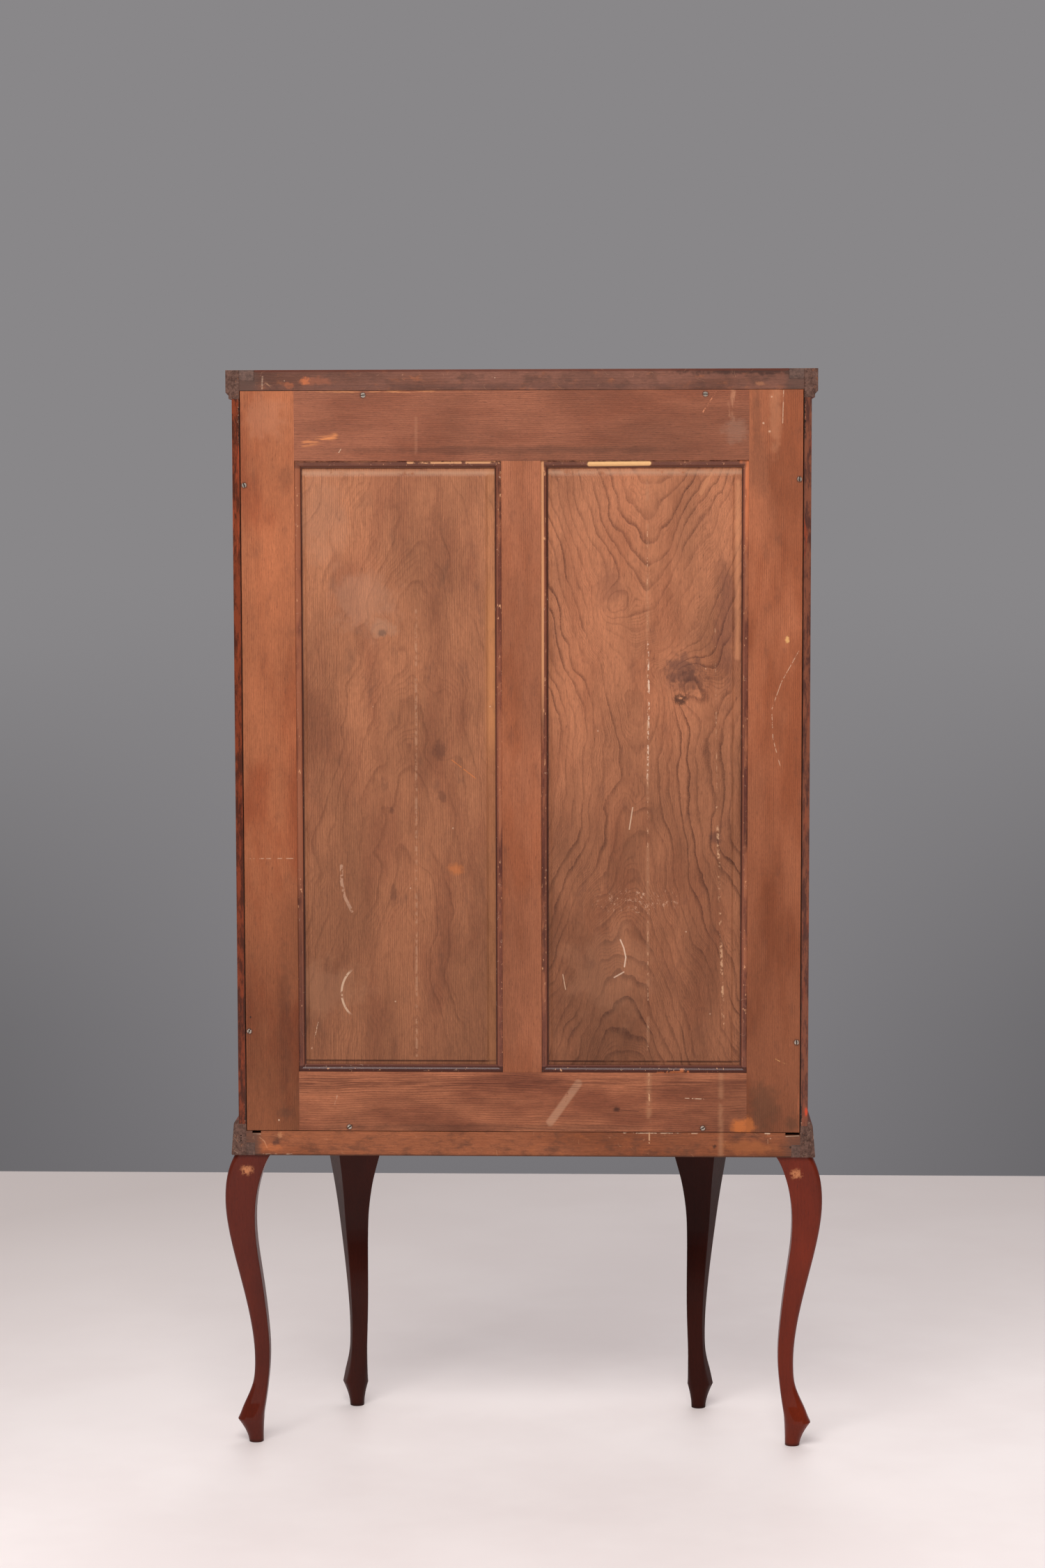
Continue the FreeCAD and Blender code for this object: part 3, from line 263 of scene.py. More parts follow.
PINE = dict(light=tone(180, 110, 76), dark=tone(98, 49, 32), warm=tone(166, 95, 61))
CARCASS = dict(light=tone(138, 84, 64), dark=tone(78, 42, 32), warm=tone(122, 72, 50))
BEAD = dict(light=tone(124, 70, 52), dark=tone(66, 33, 25), warm=tone(102, 54, 42))
MAHOGANY = dict(light=tone(122, 58, 38), dark=tone(66, 27, 19), warm=tone(104, 46, 31))

DIRT = tone(52, 34, 27)
PALE = tone(224, 190, 160)
FRESH = tone(226, 172, 108)
ORANGE = tone(206, 118, 62)
GREY_END = tone(82, 63, 55)


SCREWS = ((230.0, 1563.0), (-268.0, 1563.0), (257.0, 484.0), (-267.0, 484.0),
          (405.0, 1433.0), (405.0, 627.0), (-405.0, 1440.0), (-405.0, 613.0))


def screw_marks(paint, upright):
    """Dark rings pressed round the screw heads: four in the rails, four in the stiles."""
    return [(paint.spot(x, z, 6.6, 6.6, 0.4, 3.0), DIRT, 0.75) for x,
            z in (SCREWS[4:] if upright else SCREWS[:4])]


def stile(name, seed, marks=(), low=0.74, **changes):
    """An upright of the back frame: pine, darker towards its foot, partly from grime and partly from
    painted shade.
    """
    paint = wood(name, axis="z", seed=seed, ring=2.7, sway=5.0, line=0.5, fibre=0.22, blotch=0.26,
                 rough=0.55, low=low,
                 **{**PINE, **changes})
    grime = paint.between(paint.noise(paint.place, (16.0, 16.0, 40.0), 5.0, 0.65), 0.54, 0.74)
    paint.stain(grime, tone(92, 56, 42), 0.3)
    for mask, colour, strength in (marks(paint) + screw_marks(paint, True)) if marks else ():
        paint.stain(paint.back_only(mask), colour, strength)
    return paint.done(0.25)


def left_stile_marks(paint):
    return [
        (paint.spot(-388.0, 1207.0, 4.0, 7.0, 0.7, 3.0), FRESH, 0.9),
        (paint.path([(-405.0, 1190.0), (-380.0, 1145.0), (-366.0, 1105.0), (-368.0, 1062.0),
                     (-379.0, 1021.0)], 1.5, 0.46), PALE, 0.55),
        (paint.stroke((-381.0, 1568.0), (-380.0, 1521.0), 1.6, 0.42), PALE, 0.55),
        (paint.spot(-352.0, 1521.0, 2.2, 2.0, 0.4, 2.0), PALE, 0.6),
        (paint.spot(-361.0, 1509.0, 2.4, 2.2, 0.4, 2.0), PALE, 0.55),
        (paint.spot(-364.0, 1559.0, 1.8, 1.8, 0.4, 2.0), PALE, 0.6),
        (paint.spot(-342.0, 1530.0, 9.0, 60.0, 0.6, 10.0), tone(96, 58, 40), 0.35),
        (paint.spot(-370.0, 1530.0, 13.0, 70.0, 0.6, 16.0), tone(206, 142, 104), 0.3),
        (paint.spot(-356.0, 515.0, 30.0, 48.0, 0.6, 14.0), tone(78, 54, 38), 0.5),
        (paint.spot(-398.0, 492.0, 12.0, 14.0, 0.7, 7.0), tone(78, 54, 38), 0.45),
        (paint.spot(-345.0, 1460.0, 22.0, 60.0, 0.5, 14.0), DIRT, 0.22),
        (paint.spot(-335.0, 488.0, 12.0, 16.0, 0.7, 12.0), tone(200, 114, 56), 0.6),
        (paint.path([(-374.0, 588.0), (-384.0, 583.0), (-392.0, 580.0)], 1.5, 0.46), FRESH, 0.6),
        (paint.spot(-408.0, 520.0, 2.4, 20.0, 0.9, 6.0), tone(176, 104, 70), 0.5),
    ]


def right_stile_marks(paint):
    return [
        (paint.stroke((405.0, 884.6), (338.0, 885.0), 1.2, 0.46), PALE, 0.6),
        (paint.stroke((403.0, 649.0), (403.0, 647.5), 3.0), DIRT, 0.9),
        (paint.spot(345.0, 1440.0, 14.0, 30.0, 0.6, 10.0), DIRT, 0.25),
        (paint.spot(352.0, 640.0, 14.0, 150.0, 0.6, 16.0), DIRT, 0.25),
        (paint.spot(352.0, 505.0, 16.0, 12.0, 0.7, 8.0), tone(78, 52, 40), 0.4),
        (paint.spot(362.0, 494.0, 1.8, 1.8, 0.2), PALE, 0.7),
        (paint.spot(372.0, 1530.0, 40.0, 40.0, 0.8, 20.0), tone(188, 128, 98), 0.25),
    ]


def rail(name, seed, marks, **changes):
    """A crosspiece of the back frame: browner pine with close dark lines."""
    look = dict(PINE, light=tone(150, 90, 64), dark=tone(78, 40, 29), warm=tone(134, 76, 52))
    paint = wood(name, **{**dict(axis="x", seed=seed, ring=2.8, sway=7.0, line=0.62, fibre=0.26,
                                 blotch=0.26, rough=0.55, low=0.9), **look, **changes})
    for mask, colour, strength in marks(paint) + screw_marks(paint, False):
        paint.stain(paint.back_only(mask), colour, strength)
    return paint.done(0.3)


def top_rail_marks(paint):
    return [
        (paint.streaked(paint.stroke((316.0, 1493.0), (272.0, 1504.0), 15.0, crisp=0.0),
                        (30.0, 30.0, 1.5)), tone(226, 142, 84), 0.9),
        (paint.streaked(paint.spot(-308.0, 1549.0, 9.0, 32.0, 0.7, 8.0), (9.0, 9.0, 40.0)),
         tone(216, 156, 118), 0.4),
        (paint.spot(-312.0, 1512.0, 26.0, 22.0, 0.8, 12.0), tone(170, 140, 120), 0.2),
        (paint.stroke((-284.0, 1567.0), (-264.0, 1537.0), 2.4, 0.48, 3.0), tone(230, 148, 106), 0.85),
        (paint.stroke((266.0, 1480.0), (263.0, 1485.0), 1.5), PALE, 0.7),
        (paint.spot(20.0, 1483.0, 330.0, 8.0, 0.7, 30.0), DIRT, 0.3),
        (paint.streaked(paint.spot(200.0, 1568.5, 160.0, 3.0, 0.6, 8.0), (30.0, 30.0, 2.0)),
         tone(206, 136, 88), 0.6),
        (paint.band(153.0, 1478.0, 1530.0, 5.0), tone(190, 132, 100), 0.22),
    ]


def bottom_rail_marks(paint):
    return [
        (paint.spot(-139.5, 512.0, 7.0, 5.0, 0.4, 4.0), tone(64, 34, 24), 0.85),
        (paint.stroke((-146.0, 511.0), (-172.0, 509.0), 1.6, 0.3), tone(64, 34, 24), 0.6),
        (paint.stroke((-41.0, 492.0), (-83.0, 551.0), 15.0, 0.36, 14.0), tone(206, 160, 128), 0.4),
        (paint.spot(-321.0, 487.0, 17.0, 15.0, 0.7, 12.0), tone(210, 118, 56), 0.7),
        (paint.band(-293.7, 480.0, 570.0, 9.0), tone(192, 138, 102), 0.35),
        (paint.stroke((-187.0, 566.0), (-188.0, 520.0), 3.0, 0.46, 7.0), tone(226, 178, 136), 0.7),
        (paint.band(-187.5, 480.0, 570.0, 9.0), tone(196, 142, 104), 0.35),
        (paint.stroke((-241.0, 529.0), (-269.0, 528.0), 1.5, 0.46, 3.0), PALE, 0.8),
        (paint.stroke((275.0, 531.0), (281.4, 509.0), 3.0, 0.44, 6.0, 0.0), PALE, 0.4),
        (paint.spot(40.0, 484.0, 330.0, 8.0, 0.7, 26.0), DIRT, 0.3),
        (paint.streaked(paint.stroke((330.0, 550.0), (-330.0, 552.0), 34.0, crisp=0.0),
                        (60.0, 60.0, 2.4)), tone(84, 42, 29), 0.6),
    ]


def cathedral(paint, q, ring, centre, sway):
    """Growth rings of a board cut through the heart: V shapes, arches and a swirl round a knot."""
    drift = paint.wander(q, (85.0, 85.0, 210.0), 0.5, sway * 2, 3.0)
    wiggle = paint.wander(q, (14.0, 14.0, 26.0), 0.6, sway * 0.26)
    jag = paint.wander(q, (2.6, 2.6, 5.0), 0.6, 2.8)
    moved = paint.vector("ADD", q, paint.vector("ADD", drift, paint.vector("ADD", wiggle, jag)))
    split = paint.tree.nodes.new("ShaderNodeSeparateXYZ")
    paint.feed(split.inputs[0], moved)
    rise = paint.math("SUBTRACT", split.outputs[2], centre["waist"])
    side = paint.math("SUBTRACT", split.outputs[0], centre["heart"])
    side = paint.math("SUBTRACT", side, paint.both(rise, centre["tilt"]))
    wide = paint.math("SQRT", paint.math("ADD", paint.both(side, side), 30.0 ** 2))
    tall = paint.math("SQRT", paint.math("ADD", paint.both(rise, rise), 130.0 ** 2))
    field = paint.math("SUBTRACT", wide, paint.both(tall, centre["lean"]))
    for x, z, reach, push in centre["knots"]:
        apart = paint.vector("LENGTH", paint.vector("MULTIPLY", paint.vector(
            "SUBTRACT", moved, (x, 0.0, z)), (1.0 / reach, 0.0, 0.8 / reach)))
        swell = paint.math("EXPONENT", paint.both(paint.both(apart, apart), -1.0))
        field = paint.math("ADD", field, paint.both(swell, push))
    uneven = paint.both(paint.noise(q, (70.0, 70.0, 110.0), 2.0, 0.5), 3.4)
    return paint.math("ADD", paint.math("DIVIDE", field, ring), uneven)


def bevel_light_and_shade(paint, start, end):
    """The panel's painted highlights along its upper bevel and its painted shadow line along its lower
    bevel, from x = start to x = end.
    """
    return [
        # Painted highlights over the upper bevel.
        (paint.stroke((start, 1450.6), (end, 1450.6), 11.0, 0.3, 16.0, 0.0), tone(196, 160, 132), 0.42),
        (paint.stroke((start, 1456.0), (end, 1456.0), 16.0, 0.4, 30.0), tone(188, 126, 88), 0.3),
        # Painted shadow line along the lower bevel.
        (paint.stroke((start, 582.6), (end, 582.6), 3.6, 0.3, 40.0), tone(62, 36, 27), 0.6),
    ]


def right_panel():
    """The panel on the +X side: brown, with fine upright fibres and faint arches."""
    paint = wood(
        "back_panel_right", axis="z", seed=3.0, ring=22.0, sway=12.0, line=0.5, fibre=0.28, blotch=0.26,
        rough=0.52, rings=cathedral, ease=0.72, hair=0.2, low=0.64,
        centre=dict(heart=170.0, waist=620.0, lean=-0.2, tilt=-0.02,
                    knots=((205.0, 1217.0, 16.0, 34.0), (118.0, 1045.0, 20.0, 24.0))),
        light=tone(178, 115, 80), dark=tone(92, 48, 32), warm=tone(158, 98, 68),
    )
    close = paint.between(paint.math("FRACT", paint.math("DIVIDE", paint.math("ADD", paint.x, paint.both(
        paint.noise(paint.place, (70.0, 70.0, 300.0), 2.0), 22.0)), 3.1)), 0.5, 0.95)
    paint.stain(close, tone(104, 58, 40), 0.3)
    # The bevels' painted highlights and shadow line come first.
    marks = bevel_light_and_shade(paint, 30.0, 326.0) + [
        (paint.spot(292.0, 1382.0, 46.0, 90.0, 0.9, 34.0), tone(186, 138, 110), 0.2),
        (paint.spot(238.0, 1262.0, 60.0, 56.0, 0.9, 30.0), tone(190, 146, 120), 0.2),
        (paint.spot(205.0, 1217.0, 9.0, 7.0, 0.5, 5.0), tone(70, 40, 30), 0.75),
        (paint.spot(205.0, 1224.0, 26.0, 18.0, 0.8, 12.0), tone(176, 138, 112), 0.3),
        (paint.spot(122.0, 1045.0, 14.0, 18.0, 0.7, 9.0), tone(78, 44, 36), 0.45),
        (paint.spot(118.0, 975.0, 8.0, 12.0, 0.7, 7.0), tone(78, 46, 38), 0.4),
        (paint.spot(192.0, 955.0, 5.0, 6.0, 0.6, 5.0), tone(78, 44, 36), 0.4),
        (paint.spot(190.0, 830.0, 7.0, 22.0, 0.7, 7.0), tone(80, 48, 38), 0.35),
        (paint.spot(98.0, 868.0, 15.0, 11.0, 0.6, 7.0), ORANGE, 0.45),
        (paint.spot(300.0, 690.0, 80.0, 60.0, 0.8, 26.0), tone(178, 128, 96), 0.25),
        (paint.stroke((155.0, 1250.0), (157.0, 590.0), 6.0, 0.42, 9.0, 0.0), tone(200, 154, 122), 0.4),
        (paint.path([(267.0, 873.0), (267.0, 850.0), (263.0, 828.0), (252.0, 806.0)], 6.0, 0.4),
         tone(206, 164, 136), 0.5),
        (paint.bow((222.0, 684.0), 46.0, 654.0, 716.0, 4.0, 1.0, 0.36), PALE, 0.65),
        (paint.stroke((103.0, 1030.0), (68.0, 1003.0), 1.8, 0.4, 5.0), ORANGE, 0.75),
        (paint.stroke((303.0, 640.0), (313.0, 600.0), 1.6, 0.46, 4.0), PALE, 0.7),
    ]
    for mask, colour, strength in marks:
        paint.stain(paint.back_only(mask, 130.0), colour, strength)
    rust = paint.both(paint.between(paint.x, 58.0, 44.0), paint.most(
        paint.between(paint.math("ABSOLUTE", paint.math("SUBTRACT", paint.z, 1165.0)), 190.0, 60.0), 0.3))
    paint.stain(rust, tone(206, 136, 84), 0.65)
    grime = paint.between(paint.noise(paint.place, (26.0, 26.0, 60.0), 5.0, 0.65), 0.55, 0.75)
    paint.stain(grime, tone(96, 64, 50), 0.35)
    speckle(paint, 0.5)
    return paint.done(0.3)


def left_panel():
    """The panel on the -X side: strong arched grain round a knot."""
    paint = wood(
        "back_panel_left", axis="z", seed=5.0, ring=14.0, sway=20.0, line=0.88, fibre=0.26, blotch=0.34,
        rough=0.52, rings=cathedral, ease=0.56, hair=0.3, low=0.62,
        centre=dict(heart=-170.0, waist=1010.0, lean=0.42, tilt=-0.06, knots=(
            (-246.0, 1143.0, 34.0, 62.0), (-134.0, 1262.0, 22.0, -44.0), (-186.0, 1165.0, 26.0, 34.0))),
        light=tone(178, 114, 80), dark=tone(78, 38, 27), warm=tone(162, 100, 69),
    )
    # The bevels' painted highlights and shadow line come first.
    marks = bevel_light_and_shade(paint, -326.0, -30.0) + [
        (paint.spot(-236.0, 1162.0, 34.0, 30.0, 0.9, 11.0), tone(84, 54, 48), 0.6),
        (paint.spot(-248.0, 1146.0, 30.0, 24.0, 1.2, 7.0), tone(70, 42, 36), 0.45),
        (paint.spot(-233.0, 1119.0, 13.0, 10.0, 0.8, 5.0), tone(58, 34, 28), 0.8),
        (paint.spot(-233.0, 1121.0, 4.0, 2.6, 0.6, 2.0), tone(206, 140, 100), 0.8),
        (paint.spot(-130.0, 1282.0, 24.0, 42.0, 0.8, 16.0), tone(110, 66, 50), 0.35),
        (paint.spot(-285.0, 915.0, 12.0, 12.0, 0.8, 8.0), tone(70, 42, 40), 0.5),
        (paint.stroke((-184.0, 1376.0), (-186.0, 600.0), 1.8, 0.54, 9.0), tone(222, 174, 138), 0.6),
        (paint.path([(-185.0, 1200.0), (-187.0, 1120.0), (-184.5, 1000.0)], 3.0, 0.5),
         tone(238, 206, 180), 0.75),
        (paint.stroke((-184.0, 1455.0), (-186.0, 600.0), 6.0, 0.46, 40.0), tone(190, 140, 106), 0.22),
        (paint.stroke((-287.0, 960.0), (-297.0, 640.0), 6.0, 0.5, 10.0, 0.2), tone(222, 172, 132), 0.7),
        (paint.stroke((-283.0, 1240.0), (-287.0, 960.0), 2.4, 0.5, 8.0, 0.2), tone(214, 164, 128), 0.5),
        (paint.spot(-300.0, 1230.0, 22.0, 110.0, 0.9, 20.0), tone(96, 56, 50), 0.3),
        (paint.path([(-145.0, 764.0), (-150.0, 752.0), (-153.0, 738.0), (-151.0, 724.0)], 2.6, 0.3),
         tone(236, 206, 180), 0.85),
        (paint.stroke((-150.0, 716.0), (-136.0, 708.0), 2.6, 0.3), tone(236, 206, 180), 0.7),
        (paint.stroke((-163.0, 960.0), (-158.0, 928.0), 2.2, 0.3), PALE, 0.65),
        (paint.both(paint.spot(-170.0, 822.0, 76.0, 20.0, 0.9, 12.0),
                    paint.between(paint.noise(paint.place, 4.0, 4.0, 0.7), 0.56, 0.64)),
         tone(214, 170, 140), 0.7),
        (paint.stroke((-60.0, 712.0), (-64.0, 690.0), 1.8, 0.3), PALE, 0.6),
        (paint.stroke((-262.0, 1420.0), (-276.0, 1448.0), 8.0, 0.3, 10.0), tone(206, 140, 98), 0.4),
        (paint.stroke((-316.0, 1436.0), (-316.0, 1180.0), 12.0, 0.3, 60.0, 0.0), tone(214, 146, 104), 0.5),
        (paint.spot(-130.0, 720.0, 80.0, 90.0, 0.8, 26.0), tone(180, 126, 94), 0.22),
    ]
    for mask, colour, strength in marks:
        paint.stain(paint.back_only(mask, 130.0), colour, strength)
    grime = paint.between(paint.noise(paint.place, (26.0, 26.0, 50.0), 5.0, 0.65), 0.56, 0.76)
    paint.stain(grime, tone(96, 60, 48), 0.3)
    speckle(paint, 0.5)
    return paint.done(0.3)


def speckle(paint, strength):
    """Small pale specks of old paint and plaster."""
    node = paint.tree.nodes.new("ShaderNodeTexVoronoi")
    paint.feed(node.inputs["Vector"], paint.vector("DIVIDE", paint.place, (34.0, 34.0, 34.0)))
    node.inputs["Scale"].default_value = 1.0
    dots = paint.between(node.outputs["Distance"], 0.045, 0.02)
    some = paint.math("GREATER_THAN", paint.noise(paint.place, 60.0, 1.0), 0.5)
    paint.stain(paint.both(dots, some), PALE, strength)


def beads():
    """The dark mouldings round the panels, worn to the bare wood along their outer crowns, with painted
    shade on their inner slopes and painted highlights on their ridges and along the upper edges of the top
    and bottom beads.
    """
    paint = wood("back_beads", axis="z", seed=8.0, ring=3.0, line=0.5, fibre=0.4, blotch=0.4, rough=0.36,
                 coat=0.2, **BEAD)
    # Painted shade on the inner slopes of the beads, next to the panels.
    paint.stain(paint.between(paint.y, 137.4, 134.0), tone(50, 27, 23), 0.8)
    crown = paint.between(paint.y, 138.2, 138.9)
    # Painted highlight along the middle of each bead's rounded ridge.
    ridge_highlight = paint.both(paint.between(paint.y, 136.4, 137.6), paint.between(paint.y, 138.8, 138.0))
    paint.stain(ridge_highlight, tone(156, 98, 76), 0.5)
    across_top = paint.between(paint.z, 1456.0, 1459.0)
    across_foot = paint.between(paint.z, 578.5, 576.0)
    patchy = paint.between(paint.noise(paint.place, (26.0, 26.0, 90.0), 5.0, 0.65), 0.44, 0.6)
    kept = paint.both(paint.between(paint.x, 310.0, 300.0, 0.15, 0.8),
                      paint.between(paint.z, 580.0, 600.0, 0.1, 1.0))
    paint.stain(paint.both(paint.both(crown, patchy), kept), tone(168, 102, 70))
    copper = paint.both(paint.between(paint.x, 317.0, 319.0), paint.between(paint.y, 135.6, 136.6))
    copper = paint.both(copper, paint.between(paint.z, 650.0, 950.0))
    paint.stain(paint.both(copper,
                           paint.between(paint.noise(paint.place, (20.0, 20.0, 60.0), 4.0), 0.3,
                                         0.5)), tone(166, 100, 70), 0.8)
    paint.stain(across_top, tone(108, 64, 49), 0.75)
    # A broken painted highlight along the upper edge of the top bead.
    top_highlight_breaks = paint.between(paint.noise(paint.place, (14.0, 14.0, 8.0), 4.0, 0.7), 0.4, 0.56)
    paint.stain(paint.both(paint.both(across_top, paint.between(paint.z, 1465.6, 1467.0)), top_highlight_breaks),
                tone(206, 146, 110), 0.7)
    far = paint.both(paint.both(paint.between(paint.x, -317.0, -319.0), crown),
                     paint.between(paint.z, 1300.0, 1420.0))
    paint.stain(paint.both(far,
                           paint.between(paint.noise(paint.place, (12.0, 12.0, 40.0), 5.0), 0.22,
                                         0.42)), tone(204, 118, 76), 0.9)
    paint.stain(across_foot, tone(70, 33, 25), 0.9)
    # A painted highlight along the upper edge of the bottom beads.
    paint.stain(paint.both(across_foot, paint.between(paint.z, 574.6, 576.2)), tone(150, 92, 76), 0.5)
    torn = paint.stroke((-200.0, 566.0), (-245.0, 568.0), 5.0, 0.4, 8.0)
    paint.stain(paint.most(torn, paint.spot(-236.0, 571.0, 4.5, 3.0, 0.4, 3.0)), tone(196, 112, 66), 0.85)
    chips = paint.between(paint.noise(paint.place, (4.0, 4.0, 9.0), 3.0, 0.6), 0.64, 0.69)
    paint.stain(paint.both(paint.between(paint.y, 136.8, 137.8), chips), tone(224, 164, 120), 0.8)
    split = paint.both(paint.stroke((-100.0, 1462.5), (-186.0, 1463.5), 9.0, 0.2, 12.0),
                       paint.between(paint.y, 134.6, 135.6))
    paint.stain(split, tone(250, 198, 136), 0.97)
    tan = paint.both(paint.stroke((24.0, 1465.5), (165.0, 1465.5), 5.0, 0.4, 12.0), crown)
    paint.stain(tan, tone(226, 166, 118), 0.9)
    left = paint.both(paint.between(paint.math("ABSOLUTE", paint.math("ADD", paint.x, 30.5)), 3.4, 1.6),
                      paint.between(paint.z, 1040.0, 1180.0))
    paint.stain(paint.both(left, crown), tone(226, 160, 112), 0.8)
    paint.stain(paint.hairs(12.0), PALE, 0.5)
    return paint.done(0.25)


def carcass(name, axis, seed, marks=None, **look):
    """The plain wood of the base and top frames, dirty and rubbed."""
    paint = wood(name, axis=axis, seed=seed, ring=4.2, sway=6.0, line=0.3, fibre=0.26, blotch=0.4,
                 rough=0.6,
                 **{**CARCASS, **look})
    rubbed = paint.between(paint.noise(paint.place, (24.0, 24.0, 14.0), 5.0, 0.7), 0.54, 0.76)
    paint.stain(rubbed, ORANGE, 0.3)
    soiled = paint.between(paint.noise(paint.place, (36.0, 36.0, 20.0), 6.0, 0.7), 0.46, 0.68)
    paint.stain(soiled, tone(74, 48, 38), 0.55)
    for mask, colour, strength in marks(paint) if marks else ():
        paint.stain(paint.back_only(mask), colour, strength)
    paint.stain(paint.hairs(17.0), tone(212, 160, 122), 0.3)
    speckle(paint, 0.6)
    return paint.done(0.35)


def end_grain(paint):
    """Grey-brown bare ends where the frames' side pieces show at the back corners."""
    end = paint.between(paint.y, 141.2, 141.8)
    bare = paint.mix(paint.between(paint.noise(paint.place, 5.0, 6.0, 0.75), 0.3, 0.7), tone(66, 49, 43),
                     tone(118, 90, 79))
    paint.stain(end, bare, 0.95)
    return end


def top_frame_marks(paint):
    return [
        (paint.spot(315.0, 1584.0, 9.0, 7.0, 0.9, 5.0), tone(222, 122, 66), 0.55),
        (paint.spot(339.0, 1577.0, 10.0, 6.0, 0.9, 5.0), tone(196, 108, 64), 0.35),
        (paint.spot(300.0, 1583.0, 30.0, 8.0, 0.9, 8.0), tone(172, 98, 66), 0.35),
        (paint.stroke((376.6, 1590.0), (377.6, 1573.0), 4.0, 0.4, 4.0, 0.0), PALE, 0.35),
        (paint.spot(-347.0, 1578.0, 9.0, 3.6, 0.9, 5.0), tone(186, 122, 82), 0.4),
        (paint.spot(-330.0, 1598.0, 150.0, 9.0, 0.9, 11.0), tone(44, 24, 19), 0.7),
        (paint.spot(-391.0, 1587.0, 1.8, 2.2, 0.4, 2.0), tone(20, 12, 9), 0.95),
        (paint.spot(-394.5, 1587.0, 2.2, 2.6, 0.6, 2.0), tone(206, 170, 144), 0.6),
        (paint.between(paint.math("ABSOLUTE", paint.x), 378.0, 394.0), GREY_END, 0.6),
        (paint.between(paint.z, 1595.5, 1598.0), tone(92, 42, 26), 0.8),
        (paint.spot(0.0, 1576.0, 500.0, 4.0, 0.9, 40.0), tone(96, 62, 52), 0.4),
        (paint.spot(398.0, 1594.6, 1.8, 1.6, 0.2), DIRT, 0.9),
        (paint.spot(-394.2, 1590.2, 1.8, 1.6, 0.2), DIRT, 0.9),
    ]


def base_frame_marks(paint):
    return [
        (paint.spot(361.0, 471.0, 5.0, 6.0, 0.8, 2.5), tone(214, 150, 104), 0.45),
        (paint.path([(391.0, 468.0), (384.0, 462.0), (380.0, 452.0)], 2.2, 0.4), tone(206, 148, 108), 0.6),
        (paint.stroke((386.0, 442.6), (366.0, 443.0), 1.8, 0.46, 3.0), PALE, 0.6),
        (paint.stroke((351.0, 442.8), (343.0, 442.8), 1.8, 0.4, 3.0), PALE, 0.8),
        (paint.stroke((400.5, 473.3), (389.5, 472.9), 1.4), PALE, 0.8),
        (paint.stroke((-390.0, 472.6), (-409.0, 473.5), 1.6), PALE, 0.8),
        (paint.spot(375.0, 453.0, 22.0, 9.0, 0.9, 7.0), tone(196, 112, 66), 0.5),
        (paint.spot(368.0, 460.0, 9.0, 6.0, 0.8, 5.0), tone(72, 46, 42), 0.6),
        (paint.spot(-331.0, 456.0, 50.0, 14.0, 0.9, 16.0), tone(196, 116, 62), 0.3),
        (paint.band(-293.7, 441.0, 480.0, 9.0), tone(196, 142, 104), 0.35),
        (paint.stroke((-188.0, 477.0), (-188.0, 462.0), 3.0, 0.4, 5.0), tone(226, 178, 136), 0.6),
        (paint.stroke((-150.0, 476.6), (-262.0, 476.4), 2.0, 0.46, 9.0), PALE, 0.6),
        # A painted highlight on the top edge of the base rail.
        (paint.stroke((-359.0, 476.8), (-366.0, 476.6), 2.0), PALE, 0.85),
        (paint.stroke((-363.0, 476.0), (-363.4, 458.0), 1.3, 0.42, 4.0), tone(214, 160, 118), 0.5),
        (paint.spot(-396.8, 456.3, 2.8, 2.4, 0.3, 2.0), tone(14, 9, 7), 1.0),
        (paint.spot(-285.0, 457.0, 4.0, 4.0, 0.6, 3.0), DIRT, 0.7),
        (paint.between(paint.x, 384.0, 398.0), GREY_END, 0.75),
        (paint.between(paint.x, -380.0, -398.0), GREY_END, 0.5),
        (paint.between(paint.z, 444.4, 441.6), tone(60, 36, 27), 0.75),
    ]


def nail_holes(paint):
    """Three small nail holes in the right end of the base."""
    return [(paint.spot(418.8, z, 1.6, 1.4, 0.3, 1.5), tone(14, 9, 7), 1.0) for z in (470.4, 466.7, 463.5)]


def moulded(name, axis, seed):
    """The mouldings and boards: polished outside, grey bare end grain where they end at the back."""
    paint = wood(name, axis=axis, seed=seed, ring=3.6, sway=8.0, line=0.45, fibre=0.3, blotch=0.3,
                 rough=0.5, coat=0.1,
                 shine=0.05, **MAHOGANY)
    end = end_grain(paint)
    rubbed = paint.both(end, paint.between(paint.noise(paint.place, (5.0, 5.0, 7.0), 5.0, 0.7), 0.6, 0.68))
    paint.stain(rubbed, tone(150, 92, 62), 0.6)
    paint.stain(paint.both(paint.both(end, paint.hairs(9.0, 0.01, 0.5)),
                           paint.between(paint.z, 500.0, 498.0)), tone(214, 184, 158), 0.4)
    for mask, colour, strength in nail_holes(paint):
        paint.stain(paint.both(mask, end), colour, strength)
    paint.rough = paint.math("ADD", paint.rough, paint.both(end, 0.3))
    return paint.done(0.22)


EDGES = {  # the bare back edge of each side board: its dark tone and its light one
    "left": (tone(80, 48, 40), tone(128, 75, 54)),
    "right": (tone(72, 32, 18), tone(126, 56, 30)),
}


